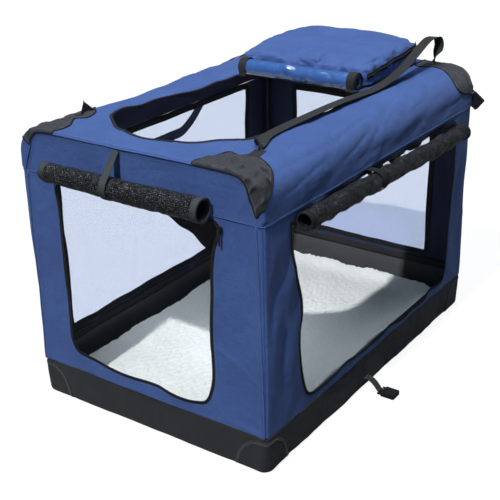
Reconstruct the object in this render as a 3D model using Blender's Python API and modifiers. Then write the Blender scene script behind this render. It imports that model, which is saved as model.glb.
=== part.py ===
"""A soft folding dog crate: a zipped fabric cover on a folding frame of round steel tube.

Metres, +Z up. The origin is the middle of the underside. The length runs along Y, the end
door faces -Y and the side door faces +X. The cover is a tray at the foot, four walls and a
cap over the top. The frame is a flat rectangle in the tray and two hoops with two bars under
the cap, joined by four posts that fold inward at their elbows.
"""

import math

import bmesh
import bpy
from mathutils import Matrix, Vector

MM = 0.001

# Overall size
LENGTH = 915 * MM
WIDTH = 610 * MM
HEIGHT = 635 * MM
GAP = 0.3 * MM
OVERRUN = 4 * MM
WELD = 0.01 * MM

# Fabric cover
FABRIC = 3 * MM
CORNER_R = 16 * MM
ARCH_R = 61 * MM
CAP_EDGE_R = 6 * MM
FOOT_R = 10 * MM
BAND_H = 85 * MM
SKIRT_H = 98 * MM

# Doors and windows in the walls
END_DOOR_STRIP = 33 * MM
SIDE_DOOR_STRIP = 22 * MM
DOOR_TOP_STRIP = 12 * MM
DOOR_R = 50 * MM
END_DOOR_W = 390 * MM
SIDE_DOOR_L = 710 * MM

# Door in the top: straight sides and a half-round front end
TOP_DOOR_W = 330 * MM
TOP_DOOR_FRONT = 400 * MM
TOP_DOOR_BACK = 115 * MM

# Window nets
NET_THICK = 1 * MM
NET_BORDER = 14 * MM
NET_CORD = 5 * MM
SIDE_NET_COUNT = (12, 8)
END_NET_COUNT = (8, 8)

# Tubes and plates of the frame
TUBE_R = 6 * MM
TUBE_WALL = 1 * MM
POST_INSET = 19 * MM
HOOP_BEND_R = 48.5 * MM
PIN_R = 2 * MM
EAR = 1.5 * MM
EAR_R = 4.5 * MM
EAR_LAP = 3 * MM
TUBE_PAST_PIN = 5 * MM
SWING_CLEAR = 0.5 * MM

# Elbows of the posts
ELBOW_OUT = 10 * MM
ELBOW_LUG_R = 3.5 * MM
ELBOW_LUG_T = 8 * MM
ELBOW_LUG_L = 22 * MM
ELBOW_SADDLE_L = 20 * MM
ELBOW_SADDLE_DROP = 8 * MM

# Collars at the ends of the hoops
COLLAR_L = 20 * MM
COLLAR_WALL = 2.2 * MM

# Corner fittings of the base and connectors under the cap
FITTING_WALL = 2.5 * MM
FITTING_ARM = 40 * MM
FITTING_STOP = 12 * MM
FITTING_INNER_R = 6 * MM
CONNECTOR_L = 28 * MM
BAR_CLEAR = 1 * MM
BAR_ANGLE = math.radians(45)

# Board and mat
BOARD_THICK = 4 * MM
BOARD_CLEAR = 2.5 * MM
MAT_W = 540 * MM
MAT_L = 850 * MM
MAT_EDGE_H = 26 * MM
MAT_CROWN = 10 * MM
MAT_DRAW = 8 * MM

# Corner patches
PATCH_THICK = 1.5 * MM
PATCH_REACH = 88 * MM
FRONT_PATCH_IN = 96 * MM
BACK_PATCH_IN = 66 * MM
PATCH_DOWN = 19 * MM

# Pocket on the top
POCKET_W = 346 * MM
POCKET_L = 272 * MM
POCKET_BACK = 430 * MM
POCKET_FRONT_H = 44 * MM
POCKET_BACK_H = 64 * MM
POCKET_R = 14 * MM

# Rolled doors
ROLL_SHEET = 2.5 * MM
ROLL_PITCH = 3.9 * MM
ROLL_TURNS = 4
SIDE_ROLL_R = 21.5 * MM
TOP_ROLL_R = 19.5 * MM
FRONT_ROLL_PAST = 8 * MM
FRONT_ROLL_X = -10 * MM
FRONT_ROLL_UP = 21 * MM
SIDE_ROLL_PAST = 5 * MM
SIDE_ROLL_DOWN = 25 * MM
SIDE_ROLL_DROP = 20 * MM
TOP_ROLL_SHORT = 7 * MM
TOP_ROLL_X = 20 * MM

# Webbing
WEB_THICK = 1.2 * MM
TIE_W = 20 * MM
TIE_IN = 12 * MM
TIE_WRAP = 300
FRONT_TIE_X = -35 * MM
FRONT_TIE_TOP = 8 * MM
SIDE_TIE_Y = -75 * MM
CARRY_W = 25 * MM
CARRY_END_Y = 345 * MM
CARRY_HANG = 102 * MM
CARRY_LOOP_H = 66 * MM
CARRY_EDGE_SPAN = 40 * MM

# Buckles and their short straps
BUCKLE_L = 41 * MM
BUCKLE_W = 32 * MM
BUCKLE_T = 9 * MM
BUCKLE_FRAME_T = 3.6 * MM
BUCKLE_FRAME_L = 11 * MM
BUCKLE_SIDE = 3.5 * MM
BUCKLE_BAR = 3 * MM
BUCKLE_SLOT = 4.2 * MM
STRAP_W = 20 * MM
BASE_STRAP_Y = -56 * MM
BASE_STRAP_Z = 28 * MM
BASE_STRAP_REACH = 42 * MM
REAR_STRAP_IN = 34 * MM
REAR_STRAP_UP = 52 * MM
REAR_STRAP_L = 30 * MM
REAR_STRAP_SLOPE = math.radians(38)

# Zip sliders and their pulls
SLIDER_W = 8 * MM
SLIDER_L = 12 * MM
SLIDER_T = 2.5 * MM
SLIDER_EAR = 1 * MM
SLIDER_EAR_R = 1.8 * MM
SLIDER_PIN_R = 0.8 * MM
PULL_W = 4 * MM
PULL_L = 30 * MM
PULL_T = 1.4 * MM
SLIDER_DOWN = 22 * MM
ZIP_OUT = 13 * MM

# Counts
TUBE_SIDES = 10
ROUND_SIDES = 12
CORNER_STEPS = 4
ARCH_STEPS = 6
ROLL_TURN_STEPS = 14

# Places that follow from the sizes
HALF_W = WIDTH / 2
HALF_L = LENGTH / 2
SKIRT_Z = HEIGHT - SKIRT_H
POST_X = HALF_W - POST_INSET
POST_Y = HALF_L - POST_INSET
FLOOR_Z = FABRIC + GAP
FITTING_HALF = TUBE_R + FITTING_WALL
BASE_TUBE_Z = FLOOR_Z + FITTING_HALF
FITTING_TOP = BASE_TUBE_Z + FITTING_HALF
TUBE_END_SWING = math.hypot(TUBE_R, TUBE_PAST_PIN)
BASE_PIVOT_Z = FITTING_TOP + TUBE_END_SWING + SWING_CLEAR
HOOP_TOP_Z = HEIGHT - FABRIC - GAP - TUBE_R
HOOP_LEG_TOP_Z = HOOP_TOP_Z - HOOP_BEND_R
HOOP_LEG_END_Z = HOOP_LEG_TOP_Z - COLLAR_L
TOP_PIVOT_Z = HOOP_LEG_END_Z - TUBE_END_SWING - SWING_CLEAR
ELBOW_Z = (BASE_PIVOT_Z + TOP_PIVOT_Z) / 2
TUBE_SLIP = TUBE_R + GAP
PIN_SLIP = PIN_R + GAP
EAR_IN = TUBE_R + GAP
BAR_X = POST_X - HOOP_BEND_R * (1 - math.cos(BAR_ANGLE))
BAR_Z = HOOP_LEG_TOP_Z + HOOP_BEND_R * math.sin(BAR_ANGLE)
TOP_DOOR_R = TOP_DOOR_W / 2
FRONT_ROLL_L = END_DOOR_W + 2 * FRONT_ROLL_PAST
SIDE_ROLL_L = SIDE_DOOR_L + 2 * SIDE_ROLL_PAST
TOP_ROLL_L = TOP_DOOR_W - 2 * TOP_ROLL_SHORT
ROLL_STAND = GAP + WEB_THICK + GAP
BUCKLE_Z = BUCKLE_T / 2 + GAP

FRONT, BACK, LEFT, RIGHT = -1, 1, -1, 1
END_NAMES = {FRONT: "front", BACK: "back"}
SIDE_NAMES = {LEFT: "left", RIGHT: "right"}
CORNERS = [(side, end) for end in (FRONT, BACK) for side in (LEFT, RIGHT)]

# How far a plate's own plane is turned: it stands across the length, or across the width
ACROSS_LENGTH = (math.radians(90), 0, 0)
ACROSS_WIDTH = (math.radians(90), 0, math.radians(90))

FINISHES = {
    "steel": ((0.42, 0.43, 0.45), 0.35, 1.0),
    "zinc": ((0.2, 0.2, 0.21), 0.4, 1.0),
    "nylon": ((0.02, 0.02, 0.022), 0.45, 0.0),
    "blue_fabric": ((0.05, 0.11, 0.26), 0.85, 0.0),
    "black_fabric": ((0.03, 0.03, 0.035), 0.9, 0.0),
    "net": ((0.015, 0.015, 0.017), 0.7, 0.0),
    "film": ((0.03, 0.12, 0.36), 0.25, 0.0),
    "fleece": ((0.84, 0.86, 0.9), 0.95, 0.0),
    "board": ((0.1, 0.1, 0.1), 0.9, 0.0),
}

for leftover in list(bpy.data.objects):
    bpy.data.objects.remove(leftover)

crate = bpy.data.collections.new("soft_folding_dog_crate")
cutters = bpy.data.collections.new("cutters")
bpy.context.scene.collection.children.link(crate)
bpy.context.scene.collection.children.link(cutters)


# Making shapes


def tool(name, mesh):
    """A mesh as an object that only cuts or joins, until keep makes it a piece."""
    shape = bpy.data.objects.new(name, mesh)
    shape.hide_render = True
    shape.display_type = "WIRE"
    cutters.objects.link(shape)
    return shape


def from_bmesh(name, bm):
    mesh = bpy.data.meshes.new(name)
    bm.to_mesh(mesh)
    bm.free()
    return tool(name, mesh)


def pivot(name, place, parent=None):
    """An empty on a joint's axis, which carries the pieces that turn or slide there."""
    empty = bpy.data.objects.new(name, None)
    crate.objects.link(empty)
    empty.location = place
    if parent:
        hang(empty, parent)
    return empty


def hang(child, parent):
    """Parents child without moving it."""
    bpy.context.view_layer.update()
    child.parent = parent
    child.matrix_parent_inverse = parent.matrix_world.inverted()


def keep(shape, finish, carrier=None, origin=(0, 0, 0)):
    """Makes a shape one of the crate's pieces, with its own material and its origin on its joint."""
    cutters.objects.unlink(shape)
    crate.objects.link(shape)
    shape.hide_render = False
    shape.display_type = "TEXTURED"
    place = carrier.matrix_world.translation.copy() if carrier else Vector(origin)
    shape.data.transform(Matrix.Translation(-place))
    shape.location = place
    colour, roughness, metallic = FINISHES[finish]
    material = bpy.data.materials.new(f"{shape.name}_{finish}")
    material.use_nodes = True
    shader = material.node_tree.nodes["Principled BSDF"]
    shader.inputs["Base Color"].default_value = (*colour, 1)
    shader.inputs["Roughness"].default_value = roughness
    shader.inputs["Metallic"].default_value = metallic
    shape.data.materials.clear()
    shape.data.materials.append(material)
    if carrier:
        hang(shape, carrier)
    return shape


def combine(target, tools, operation):
    for other in tools:
        modifier = target.modifiers.new(operation.lower(), "BOOLEAN")
        modifier.operation = operation
        modifier.object = other
        modifier.solver = "EXACT"
    return target


def join(target, *tools):
    return combine(target, tools, "UNION")


def cut(target, *tools):
    return combine(target, tools, "DIFFERENCE")


def shell(shape, thickness, side):
    """Gives an open surface its thickness, inward where side is -1 and outward where it is 1."""
    modifier = shape.modifiers.new("thickness", "SOLIDIFY")
    modifier.thickness = thickness
    modifier.offset = side
    modifier.use_even_offset = True
    return shape


def meshed(curve_object):
    """The curve's evaluated shape as a mesh in the crate's own frame, with its caps welded."""
    bpy.context.view_layer.update()
    name = curve_object.name
    evaluated = curve_object.evaluated_get(bpy.context.evaluated_depsgraph_get())
    mesh = bpy.data.meshes.new_from_object(evaluated)
    mesh.transform(curve_object.matrix_world)
    bpy.data.objects.remove(curve_object)
    bm = bmesh.new()
    bm.from_mesh(mesh)
    bmesh.ops.remove_doubles(bm, verts=bm.verts, dist=WELD)
    bm.to_mesh(mesh)
    bm.free()
    mesh.name = name
    return tool(name, mesh)


def curve_shape(name, dimensions, runs, cyclic):
    curve = bpy.data.curves.new(name, "CURVE")
    curve.dimensions = dimensions
    for run in runs:
        spline = curve.splines.new("POLY")
        spline.points.add(len(run) - 1)
        for point, place in zip(spline.points, run):
            point.co = (*place, *(0,) * (3 - len(place)), 1)
        spline.use_cyclic_u = cyclic
    shape = bpy.data.objects.new(name, curve)
    cutters.objects.link(shape)
    return shape


def plate(name, outlines, thickness, turn=(0, 0, 0), place=(0, 0, 0)):
    """A flat plate: the first outline is its edge, the others are holes, and place is its middle."""
    shape = curve_shape(name, "2D", outlines, True)
    shape.data.fill_mode = "BOTH"
    shape.data.extrude = thickness / 2
    shape.rotation_euler = turn
    shape.location = place
    return meshed(shape)


def tube(name, route, radius, wall=0):
    """A round tube along a route, open at its ends where it has a wall."""
    shape = curve_shape(name, "3D", [route], False)
    shape.data.bevel_depth = radius
    shape.data.bevel_resolution = TUBE_SIDES // 2 - 2
    shape.data.use_fill_caps = not wall
    made = meshed(shape)
    made.data.shade_smooth()
    return shell(made, wall, -1) if wall else made


def rod(name, radius, start, end, sides=ROUND_SIDES):
    start, end = Vector(start), Vector(end)
    along = end - start
    bm = bmesh.new()
    bmesh.ops.create_cone(
        bm, cap_ends=True, segments=sides, radius1=radius, radius2=radius, depth=along.length
    )
    turn = along.to_track_quat("Z", "Y").to_matrix().to_4x4()
    bm.transform(Matrix.Translation((start + end) / 2) @ turn)
    return from_bmesh(name, bm)


def box(name, corner, other):
    """A box between two opposite corners, in any order."""
    low = Vector(min(a, b) for a, b in zip(corner, other))
    high = Vector(max(a, b) for a, b in zip(corner, other))
    bm = bmesh.new()
    bmesh.ops.create_cube(bm, size=1)
    bm.transform(Matrix.Translation((low + high) / 2) @ Matrix.Diagonal((*(high - low), 1)))
    return from_bmesh(name, bm)


def sheet(name, rows, loop=False, top=False):
    """An open surface through rows of points that match one to one."""
    bm = bmesh.new()
    lines = [[bm.verts.new(place) for place in row] for row in rows]
    count = len(rows[0])
    for lower, upper in zip(lines, lines[1:]):
        for i in range(count if loop else count - 1):
            j = (i + 1) % count
            bm.faces.new((lower[i], lower[j], upper[j], upper[i]))
    if top:
        bm.faces.new(lines[-1])
    return from_bmesh(name, bm)


def loft(name, rings):
    """A closed solid through rings of points that match one to one."""
    shape = sheet(name, rings, loop=True, top=True)
    bm = bmesh.new()
    bm.from_mesh(shape.data)
    bmesh.ops.holes_fill(bm, edges=bm.edges)
    bmesh.ops.recalc_face_normals(bm, faces=bm.faces)
    bm.to_mesh(shape.data)
    bm.free()
    return shape


# Outlines and routes


def arc(centre, radius, start, end, steps):
    """Points on a flat arc between two angles in degrees, both ends included."""
    angles = [math.radians(start + (end - start) * i / steps) for i in range(steps + 1)]
    return [(centre[0] + radius * math.cos(a), centre[1] + radius * math.sin(a)) for a in angles]


def ring(centre, radius, sides):
    """A whole circle, without its first point again."""
    return arc(centre, radius, 0, 360, sides)[:-1]


def rounded(half_u, half_v, radius, middle=(0, 0)):
    """A rectangle with round corners, counter-clockwise."""
    points = []
    for quarter, (u, v) in enumerate(((1, 1), (-1, 1), (-1, -1), (1, -1))):
        centre = (middle[0] + u * (half_u - radius), middle[1] + v * (half_v - radius))
        points += arc(centre, radius, 90 * quarter, 90 * quarter + 90, CORNER_STEPS)
    return points


def tab(root, tip, radius):
    """A strip from root to tip, square at its root and round about its tip."""
    along = math.degrees(math.atan2(tip[1] - root[1], tip[0] - root[0]))
    corners = arc(root, radius, along - 90, along + 90, 1)
    return corners[::-1] + arc(tip, radius, along - 90, along + 90, ROUND_SIDES // 2)


def strip(route, thickness):
    """The outline of a strip of even thickness along a flat route."""
    route = [Vector(place) for place in route]
    sides = ([], [])
    for i, place in enumerate(route):
        before = (place - route[i - 1]).normalized() if i else None
        after = (route[i + 1] - place).normalized() if i < len(route) - 1 else before
        before = before or after
        along = (before + after).normalized()
        reach = thickness / 2 / along.dot(after)
        across = Vector((-along.y, along.x)) * reach
        sides[0].append(tuple(place + across))
        sides[1].append(tuple(place - across))
    return sides[0] + sides[1][::-1]


def smooth(places, steps):
    """A smooth line through places, with steps points to each stretch."""
    places = [Vector(place) for place in places]
    ends = [2 * places[0] - places[1], *places, 2 * places[-1] - places[-2]]
    line = []
    for a, b, c, d in zip(ends, ends[1:], ends[2:], ends[3:]):
        for i in range(steps):
            t = i / steps
            bend = (2 * a - 5 * b + 4 * c - d) * t * t + (3 * b - a - 3 * c + d) * t * t * t
            line.append((2 * b + (c - a) * t + bend) / 2)
    return [*line, places[-1]]


def over_arch(run, lift):
    """Where a line lies that has gone this far out and down from the arch's top edge.

    Gives x and z on the right-hand side, and the way out of the cap there.
    """
    angle = min(max(run / ARCH_R, 0), math.pi / 2)
    way_out = Vector((math.sin(angle), math.cos(angle)))
    middle = Vector((HALF_W - ARCH_R, HEIGHT - ARCH_R))
    place = middle + (ARCH_R + lift) * way_out
    place.x += min(run, 0)
    place.y -= max(run - ARCH_R * math.pi / 2, 0)
    return place, way_out


# The frame


def hinge_pin(name, place, reach):
    return rod(name, PIN_R, place - Vector((reach, 0, 0)), place + Vector((reach, 0, 0)))


def ears(name, root, tip):
    """Two plates either side of a tube, round about the pin that they hold, with the pin."""
    pieces = [hinge_pin(f"{name}_pin", tip, EAR_IN + EAR + GAP)]
    outline = tab((root.y, root.z), (tip.y, tip.z), EAR_R)
    for side in (LEFT, RIGHT):
        x = tip.x + side * (EAR_IN + EAR / 2)
        pieces.append(plate(f"{name}_ear_{SIDE_NAMES[side]}", [outline], EAR, ACROSS_WIDTH, (x, 0, 0)))
    return pieces


def pin_hole(name, place):
    reach = Vector((TUBE_R + OVERRUN, 0, 0))
    return rod(name, PIN_SLIP, place - reach, place + reach)


def upright_bore(name, x, y, low, high):
    """Clears the inside of an upright tube out of a block that is joined to it."""
    return rod(name, TUBE_R - TUBE_WALL / 2, (x, y, low - OVERRUN), (x, y, high + OVERRUN))


def base_tubes():
    for side in (LEFT, RIGHT):
        x, y = side * POST_X, POST_Y - FITTING_STOP
        route = [(x, -y, BASE_TUBE_Z), (x, y, BASE_TUBE_Z)]
        keep(tube(f"base_tube_{SIDE_NAMES[side]}", route, TUBE_R, TUBE_WALL), "steel")
    for end in (FRONT, BACK):
        x, y = POST_X - FITTING_STOP, end * POST_Y
        route = [(-x, y, BASE_TUBE_Z), (x, y, BASE_TUBE_Z)]
        keep(tube(f"base_tube_{END_NAMES[end]}", route, TUBE_R, TUBE_WALL), "steel")


def base_corner(side, end):
    """A moulded elbow that joins two base tubes and holds the foot of a post between its ears."""
    name = f"base_corner_{END_NAMES[end]}_{SIDE_NAMES[side]}"
    half, inner = FITTING_HALF, FITTING_HALF + FITTING_INNER_R
    outline = arc((0, 0), half, 0, 90, CORNER_STEPS)
    outline += [(-FITTING_ARM, half), (-FITTING_ARM, -half)]
    outline += arc((-inner, -inner), FITTING_INNER_R, 90, 0, CORNER_STEPS)
    outline += [(-half, -FITTING_ARM), (half, -FITTING_ARM)]
    x, y = side * POST_X, end * POST_Y
    placed = [(x + side * u, y + end * v) for u, v in outline]
    body = plate(name, [placed], 2 * half, place=(0, 0, BASE_TUBE_Z))
    near, far = FITTING_STOP - GAP, FITTING_ARM + OVERRUN
    bores = [
        rod(f"{name}_bore_x", TUBE_SLIP, (x - side * near, y, BASE_TUBE_Z), (x - side * far, y, BASE_TUBE_Z)),
        rod(f"{name}_bore_y", TUBE_SLIP, (x, y - end * near, BASE_TUBE_Z), (x, y - end * far, BASE_TUBE_Z)),
    ]
    root = Vector((x, y, FITTING_TOP - EAR_LAP))
    keep(join(cut(body, *bores), *ears(name, root, Vector((x, y, BASE_PIVOT_Z)))), "nylon")


def lower_post(side, end, carrier):
    """The lower half of a post: a tube with a saddle and ears that carry the elbow's pin."""
    name = f"lower_post_{END_NAMES[end]}_{SIDE_NAMES[side]}"
    x, y = side * POST_X, end * POST_Y
    foot = Vector((x, y, BASE_PIVOT_Z))
    elbow = Vector((x, y + end * ELBOW_OUT, ELBOW_Z))
    half = EAR_IN + EAR + GAP
    top = ELBOW_Z - ELBOW_SADDLE_DROP
    foot_z = top - ELBOW_SADDLE_L
    block = box(name, (x - half, y + end * GAP, foot_z), (x + half, y + end * TUBE_SLIP, top))
    cut(block, upright_bore(f"{name}_bore", x, y, foot_z, top))
    route = [(x, y, BASE_PIVOT_Z - TUBE_PAST_PIN), (x, y, ELBOW_Z - SWING_CLEAR)]
    post = tube(f"{name}_tube", route, TUBE_R, TUBE_WALL)
    root = Vector((x, y, top - ELBOW_SADDLE_L / 2))
    join(block, post, *ears(name, root, elbow))
    keep(cut(block, pin_hole(f"{name}_hole", foot)), "steel", carrier)


def upper_post(side, end, carrier):
    """The upper half of a post: a tube with a lug that turns on the elbow's pin."""
    name = f"upper_post_{END_NAMES[end]}_{SIDE_NAMES[side]}"
    x, y = side * POST_X, end * POST_Y
    route = [(x, y, ELBOW_Z + SWING_CLEAR), (x, y, TOP_PIVOT_Z + TUBE_PAST_PIN)]
    post = tube(name, route, TUBE_R, TUBE_WALL)
    seat = TUBE_R - TUBE_WALL * 0.7
    edge = arc((ELBOW_OUT, 0), ELBOW_LUG_R, 0, -180, ROUND_SIDES // 2)
    edge += [(seat, ELBOW_LUG_R), (seat, ELBOW_LUG_L), (ELBOW_OUT, ELBOW_LUG_L)]
    edge += [(ELBOW_OUT + ELBOW_LUG_R, ELBOW_LUG_L - ELBOW_LUG_R)]
    hole = ring((ELBOW_OUT, 0), PIN_SLIP, ROUND_SIDES)
    outlines = [[(y + end * u, ELBOW_Z + v) for u, v in run] for run in (edge, hole)]
    lug = plate(f"{name}_lug", outlines, ELBOW_LUG_T, ACROSS_WIDTH, (x, 0, 0))
    cut(join(post, lug), pin_hole(f"{name}_hole", Vector((x, y, TOP_PIVOT_Z))))
    keep(post, "steel", carrier)


def hoop_route(y):
    """The line of a hoop, up one leg, over the top and down the other."""
    flat = POST_X - HOOP_BEND_R
    line = [(POST_X, HOOP_LEG_END_Z)]
    line += arc((flat, HOOP_LEG_TOP_Z), HOOP_BEND_R, 0, 90, ARCH_STEPS)
    line += arc((-flat, HOOP_LEG_TOP_Z), HOOP_BEND_R, 90, 180, ARCH_STEPS)
    line += [(-POST_X, HOOP_LEG_END_Z)]
    return [(x, y, z) for x, z in line]


def hoop(end, carrier):
    """A bent tube under the cap, with a collar and ears at the end of each leg."""
    name = f"{END_NAMES[end]}_hoop"
    y = end * POST_Y
    bend = tube(name, hoop_route(y), TUBE_R, TUBE_WALL)
    half = TUBE_R + COLLAR_WALL
    for side in (LEFT, RIGHT):
        x = side * POST_X
        part = f"{name}_{SIDE_NAMES[side]}"
        low, high = HOOP_LEG_END_Z + SWING_CLEAR, HOOP_LEG_TOP_Z - EAR
        collar = box(f"{part}_collar", (x - half, y - half, low), (x + half, y + half, high))
        cut(collar, upright_bore(f"{part}_bore", x, y, low, high))
        root = Vector((x, y, HOOP_LEG_END_Z + EAR_R))
        join(bend, collar, *ears(part, root, Vector((x, y, TOP_PIVOT_Z))))
    keep(bend, "steel", carrier)


def top_bars(carrier):
    for side in (LEFT, RIGHT):
        y = POST_Y - TUBE_R - BAR_CLEAR
        route = [(side * BAR_X, -y, BAR_Z), (side * BAR_X, y, BAR_Z)]
        keep(tube(f"top_bar_{SIDE_NAMES[side]}", route, TUBE_R, TUBE_WALL), "steel", carrier)


def top_connector(side, end, carrier):
    """A moulded sleeve on the end of a bar, notched to sit on the hoop's bend."""
    name = f"top_connector_{END_NAMES[end]}_{SIDE_NAMES[side]}"
    x, y = side * BAR_X, end * POST_Y
    inner = end * (POST_Y - CONNECTOR_L)
    stop = end * (POST_Y - TUBE_R - BAR_CLEAR + GAP)
    sleeve = rod(name, FITTING_HALF, (x, y, BAR_Z), (x, inner, BAR_Z))
    notch = tube(f"{name}_notch", hoop_route(y), TUBE_SLIP)
    bore = rod(f"{name}_bore", TUBE_SLIP, (x, stop, BAR_Z), (x, inner - end * OVERRUN, BAR_Z))
    keep(cut(sleeve, notch, bore), "nylon", carrier)


# The tray, board and mat


def base_tray():
    """The black fabric tray at the foot of the cover, rounded under its edge."""
    rings = []
    for u, v in arc((FOOT_R, FOOT_R), FOOT_R, 270, 180, CORNER_STEPS):
        rings.append([(x, y, v) for x, y in rounded(HALF_W - u, HALF_L - u, CORNER_R - u)])
    rings.append([(x, y, BAND_H) for x, y in rounded(HALF_W, HALF_L, CORNER_R)])
    tray = sheet("base_tray", rings[::-1], loop=True, top=True)
    tray.data.flip_normals()
    keep(shell(tray, FABRIC, -1), "black_fabric")


def base_board():
    reach = POST_INSET + FITTING_HALF + BOARD_CLEAR
    x, y = HALF_W - reach, HALF_L - reach
    keep(box("base_board", (-x, -y, FLOOR_Z), (x, y, FLOOR_Z + BOARD_THICK)), "board")


def fleece_mat():
    """The mat: crowned on top, with its sides drawn in between its corners."""
    low = FLOOR_Z + BOARD_THICK + GAP
    bm = bmesh.new()
    bmesh.ops.create_cube(bm, size=2)
    bmesh.ops.subdivide_edges(bm, edges=bm.edges, cuts=3, use_grid_fill=True)
    for vert in bm.verts:
        u, v, w = vert.co
        rise = (w + 1) / 2
        crown = MAT_CROWN * (1 - u * u) * (1 - v * v)
        vert.co.x = u * (MAT_W / 2 - MAT_DRAW * (1 - v * v))
        vert.co.y = v * (MAT_L / 2 - MAT_DRAW * (1 - u * u))
        vert.co.z = low + rise * (MAT_EDGE_H + crown)
    mat = from_bmesh("fleece_mat", bm)
    softer = mat.modifiers.new("soft", "SUBSURF")
    softer.levels = 1
    softer.render_levels = 1
    mat.data.shade_smooth()
    keep(mat, "fleece")


# Walls and window nets


def door_outline(width, strip_height, clear=0):
    """The opening in a wall, across the wall and up, or the edge of what fits it."""
    low, high = BAND_H + strip_height + clear, SKIRT_Z - DOOR_TOP_STRIP - clear
    middle = (0, (low + high) / 2)
    return rounded(width / 2 - clear, (high - low) / 2, DOOR_R - clear, middle)


def end_wall(end):
    low, high = BAND_H + GAP, SKIRT_Z - GAP
    half = HALF_W - CORNER_R - FABRIC - GAP
    edge = [(-half, low), (half, low), (half, high), (-half, high)]
    place = (0, end * (HALF_L - FABRIC / 2), 0)
    door = door_outline(END_DOOR_W, END_DOOR_STRIP)
    keep(plate(f"{END_NAMES[end]}_wall", [edge, door], FABRIC, ACROSS_LENGTH, place), "blue_fabric")


def side_wall(side):
    """A long wall, which wraps the upright corners to the edges of the end walls."""
    name = f"{SIDE_NAMES[side]}_wall"
    inner_x, inner_y = HALF_W - CORNER_R, HALF_L - CORNER_R
    plan = [(inner_x - FABRIC, -HALF_L)]
    plan += arc((inner_x, -inner_y), CORNER_R, -90, 0, CORNER_STEPS)
    plan += arc((inner_x, inner_y), CORNER_R, 0, 90, CORNER_STEPS)
    plan += [(inner_x - FABRIC, HALF_L)]
    heights = (BAND_H + GAP, SKIRT_Z - GAP)[::side]
    wall = sheet(name, [[(side * x, y, z) for x, y in plan] for z in heights])
    shell(wall, FABRIC, -1)
    door = door_outline(SIDE_DOOR_L, SIDE_DOOR_STRIP)
    cutter = plate(f"{name}_door", [door], FABRIC + 2 * OVERRUN, ACROSS_WIDTH, (side * HALF_W, 0, 0))
    keep(cut(wall, cutter), "blue_fabric")


def net_holes(half_u, low, high, counts, radius):
    """The square gaps of a net, less those that a round corner takes."""
    mid, half_v = (low + high) / 2, (high - low) / 2
    pitch_u, pitch_v = 2 * half_u / counts[0], 2 * half_v / counts[1]
    holes = []
    for column in range(counts[0]):
        for row in range(counts[1]):
            u = -half_u + (column + 0.5) * pitch_u
            v = mid - half_v + (row + 0.5) * pitch_v
            du, dv = (pitch_u - NET_CORD) / 2, (pitch_v - NET_CORD) / 2
            out_u = abs(u) + du - (half_u - radius)
            out_v = abs(v - mid) + dv - (half_v - radius)
            if min(out_u, out_v) < 0 or math.hypot(out_u, out_v) < radius:
                holes.append([(u - du, v - dv), (u + du, v - dv), (u + du, v + dv), (u - du, v + dv)])
    return holes


def window_net(name, width, strip_height, counts, turn, place):
    low = BAND_H + strip_height + NET_BORDER
    high = SKIRT_Z - DOOR_TOP_STRIP - NET_BORDER
    holes = net_holes(width / 2 - NET_BORDER, low, high, counts, DOOR_R - NET_BORDER)
    edge = door_outline(width, strip_height, GAP)
    keep(plate(name, [edge, *holes], NET_THICK, turn, place), "net")


# The cap and what is sewn on it


def top_cover(carrier):
    """The cap: upright skirts and end faces, long edges arched over, and a door in the top."""
    rings = [[(x, y, SKIRT_Z) for x, y in rounded(HALF_W, HALF_L, CORNER_R)]]
    for u, v in arc((ARCH_R, 0), ARCH_R, 180, 90, ARCH_STEPS):
        past_edge = max(v - (ARCH_R - CAP_EDGE_R), 0)
        end_in = CAP_EDGE_R - math.sqrt(CAP_EDGE_R**2 - min(past_edge, CAP_EDGE_R) ** 2)
        z = HEIGHT - ARCH_R + v
        rings.append([(x, y, z) for x, y in rounded(HALF_W - u, HALF_L - end_in, CORNER_R)])
    cap = shell(sheet("top_cover", rings, loop=True, top=True), FABRIC, -1)
    r, front = TOP_DOOR_R, TOP_DOOR_R - TOP_DOOR_FRONT
    door = [(r, TOP_DOOR_BACK), (-r, TOP_DOOR_BACK), *arc((0, front), r, 180, 360, 3 * CORNER_STEPS)]
    cutter = plate("top_cover_door", [door], FABRIC + 2 * OVERRUN, place=(0, 0, HEIGHT))
    keep(cut(cap, cutter), "blue_fabric", carrier)


# How far along the cap a patch reaches, at its inner end, over the arch and at its lower end
PATCH_IN_SHARES = (0.1, 0.56, 0.81, 0.95)
PATCH_ARCH_SHARES = (1.0, 1.0, 0.99, 0.96, 0.91, 0.84, 0.74)
PATCH_DOWN_SHARES = (0.4,)


def corner_patch(side, end, carrier):
    """A reinforcing patch that lies over the arch at a corner of the cap."""
    name = f"corner_patch_{END_NAMES[end]}_{SIDE_NAMES[side]}"
    outer = HALF_L - CORNER_R - GAP
    inner_run = FRONT_PATCH_IN if end == FRONT else BACK_PATCH_IN
    flat_steps = len(PATCH_IN_SHARES)
    runs = [inner_run * (i / flat_steps - 1) for i in range(flat_steps)]
    runs += [ARCH_R * math.pi / 2 * i / ARCH_STEPS for i in range(ARCH_STEPS + 1)]
    runs.append(runs[-1] + PATCH_DOWN)
    rows = []
    for run, share in zip(runs, PATCH_IN_SHARES + PATCH_ARCH_SHARES + PATCH_DOWN_SHARES):
        place, _ = over_arch(run, GAP)
        ys = (end * (outer - PATCH_REACH * share), end * outer)
        rows.append([(side * place.x, y, place.y) for y in ys])
    patch = sheet(name, rows)
    if side * end > 0:
        patch.data.flip_normals()
    keep(shell(patch, PATCH_THICK, 1), "black_fabric", carrier)


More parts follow.
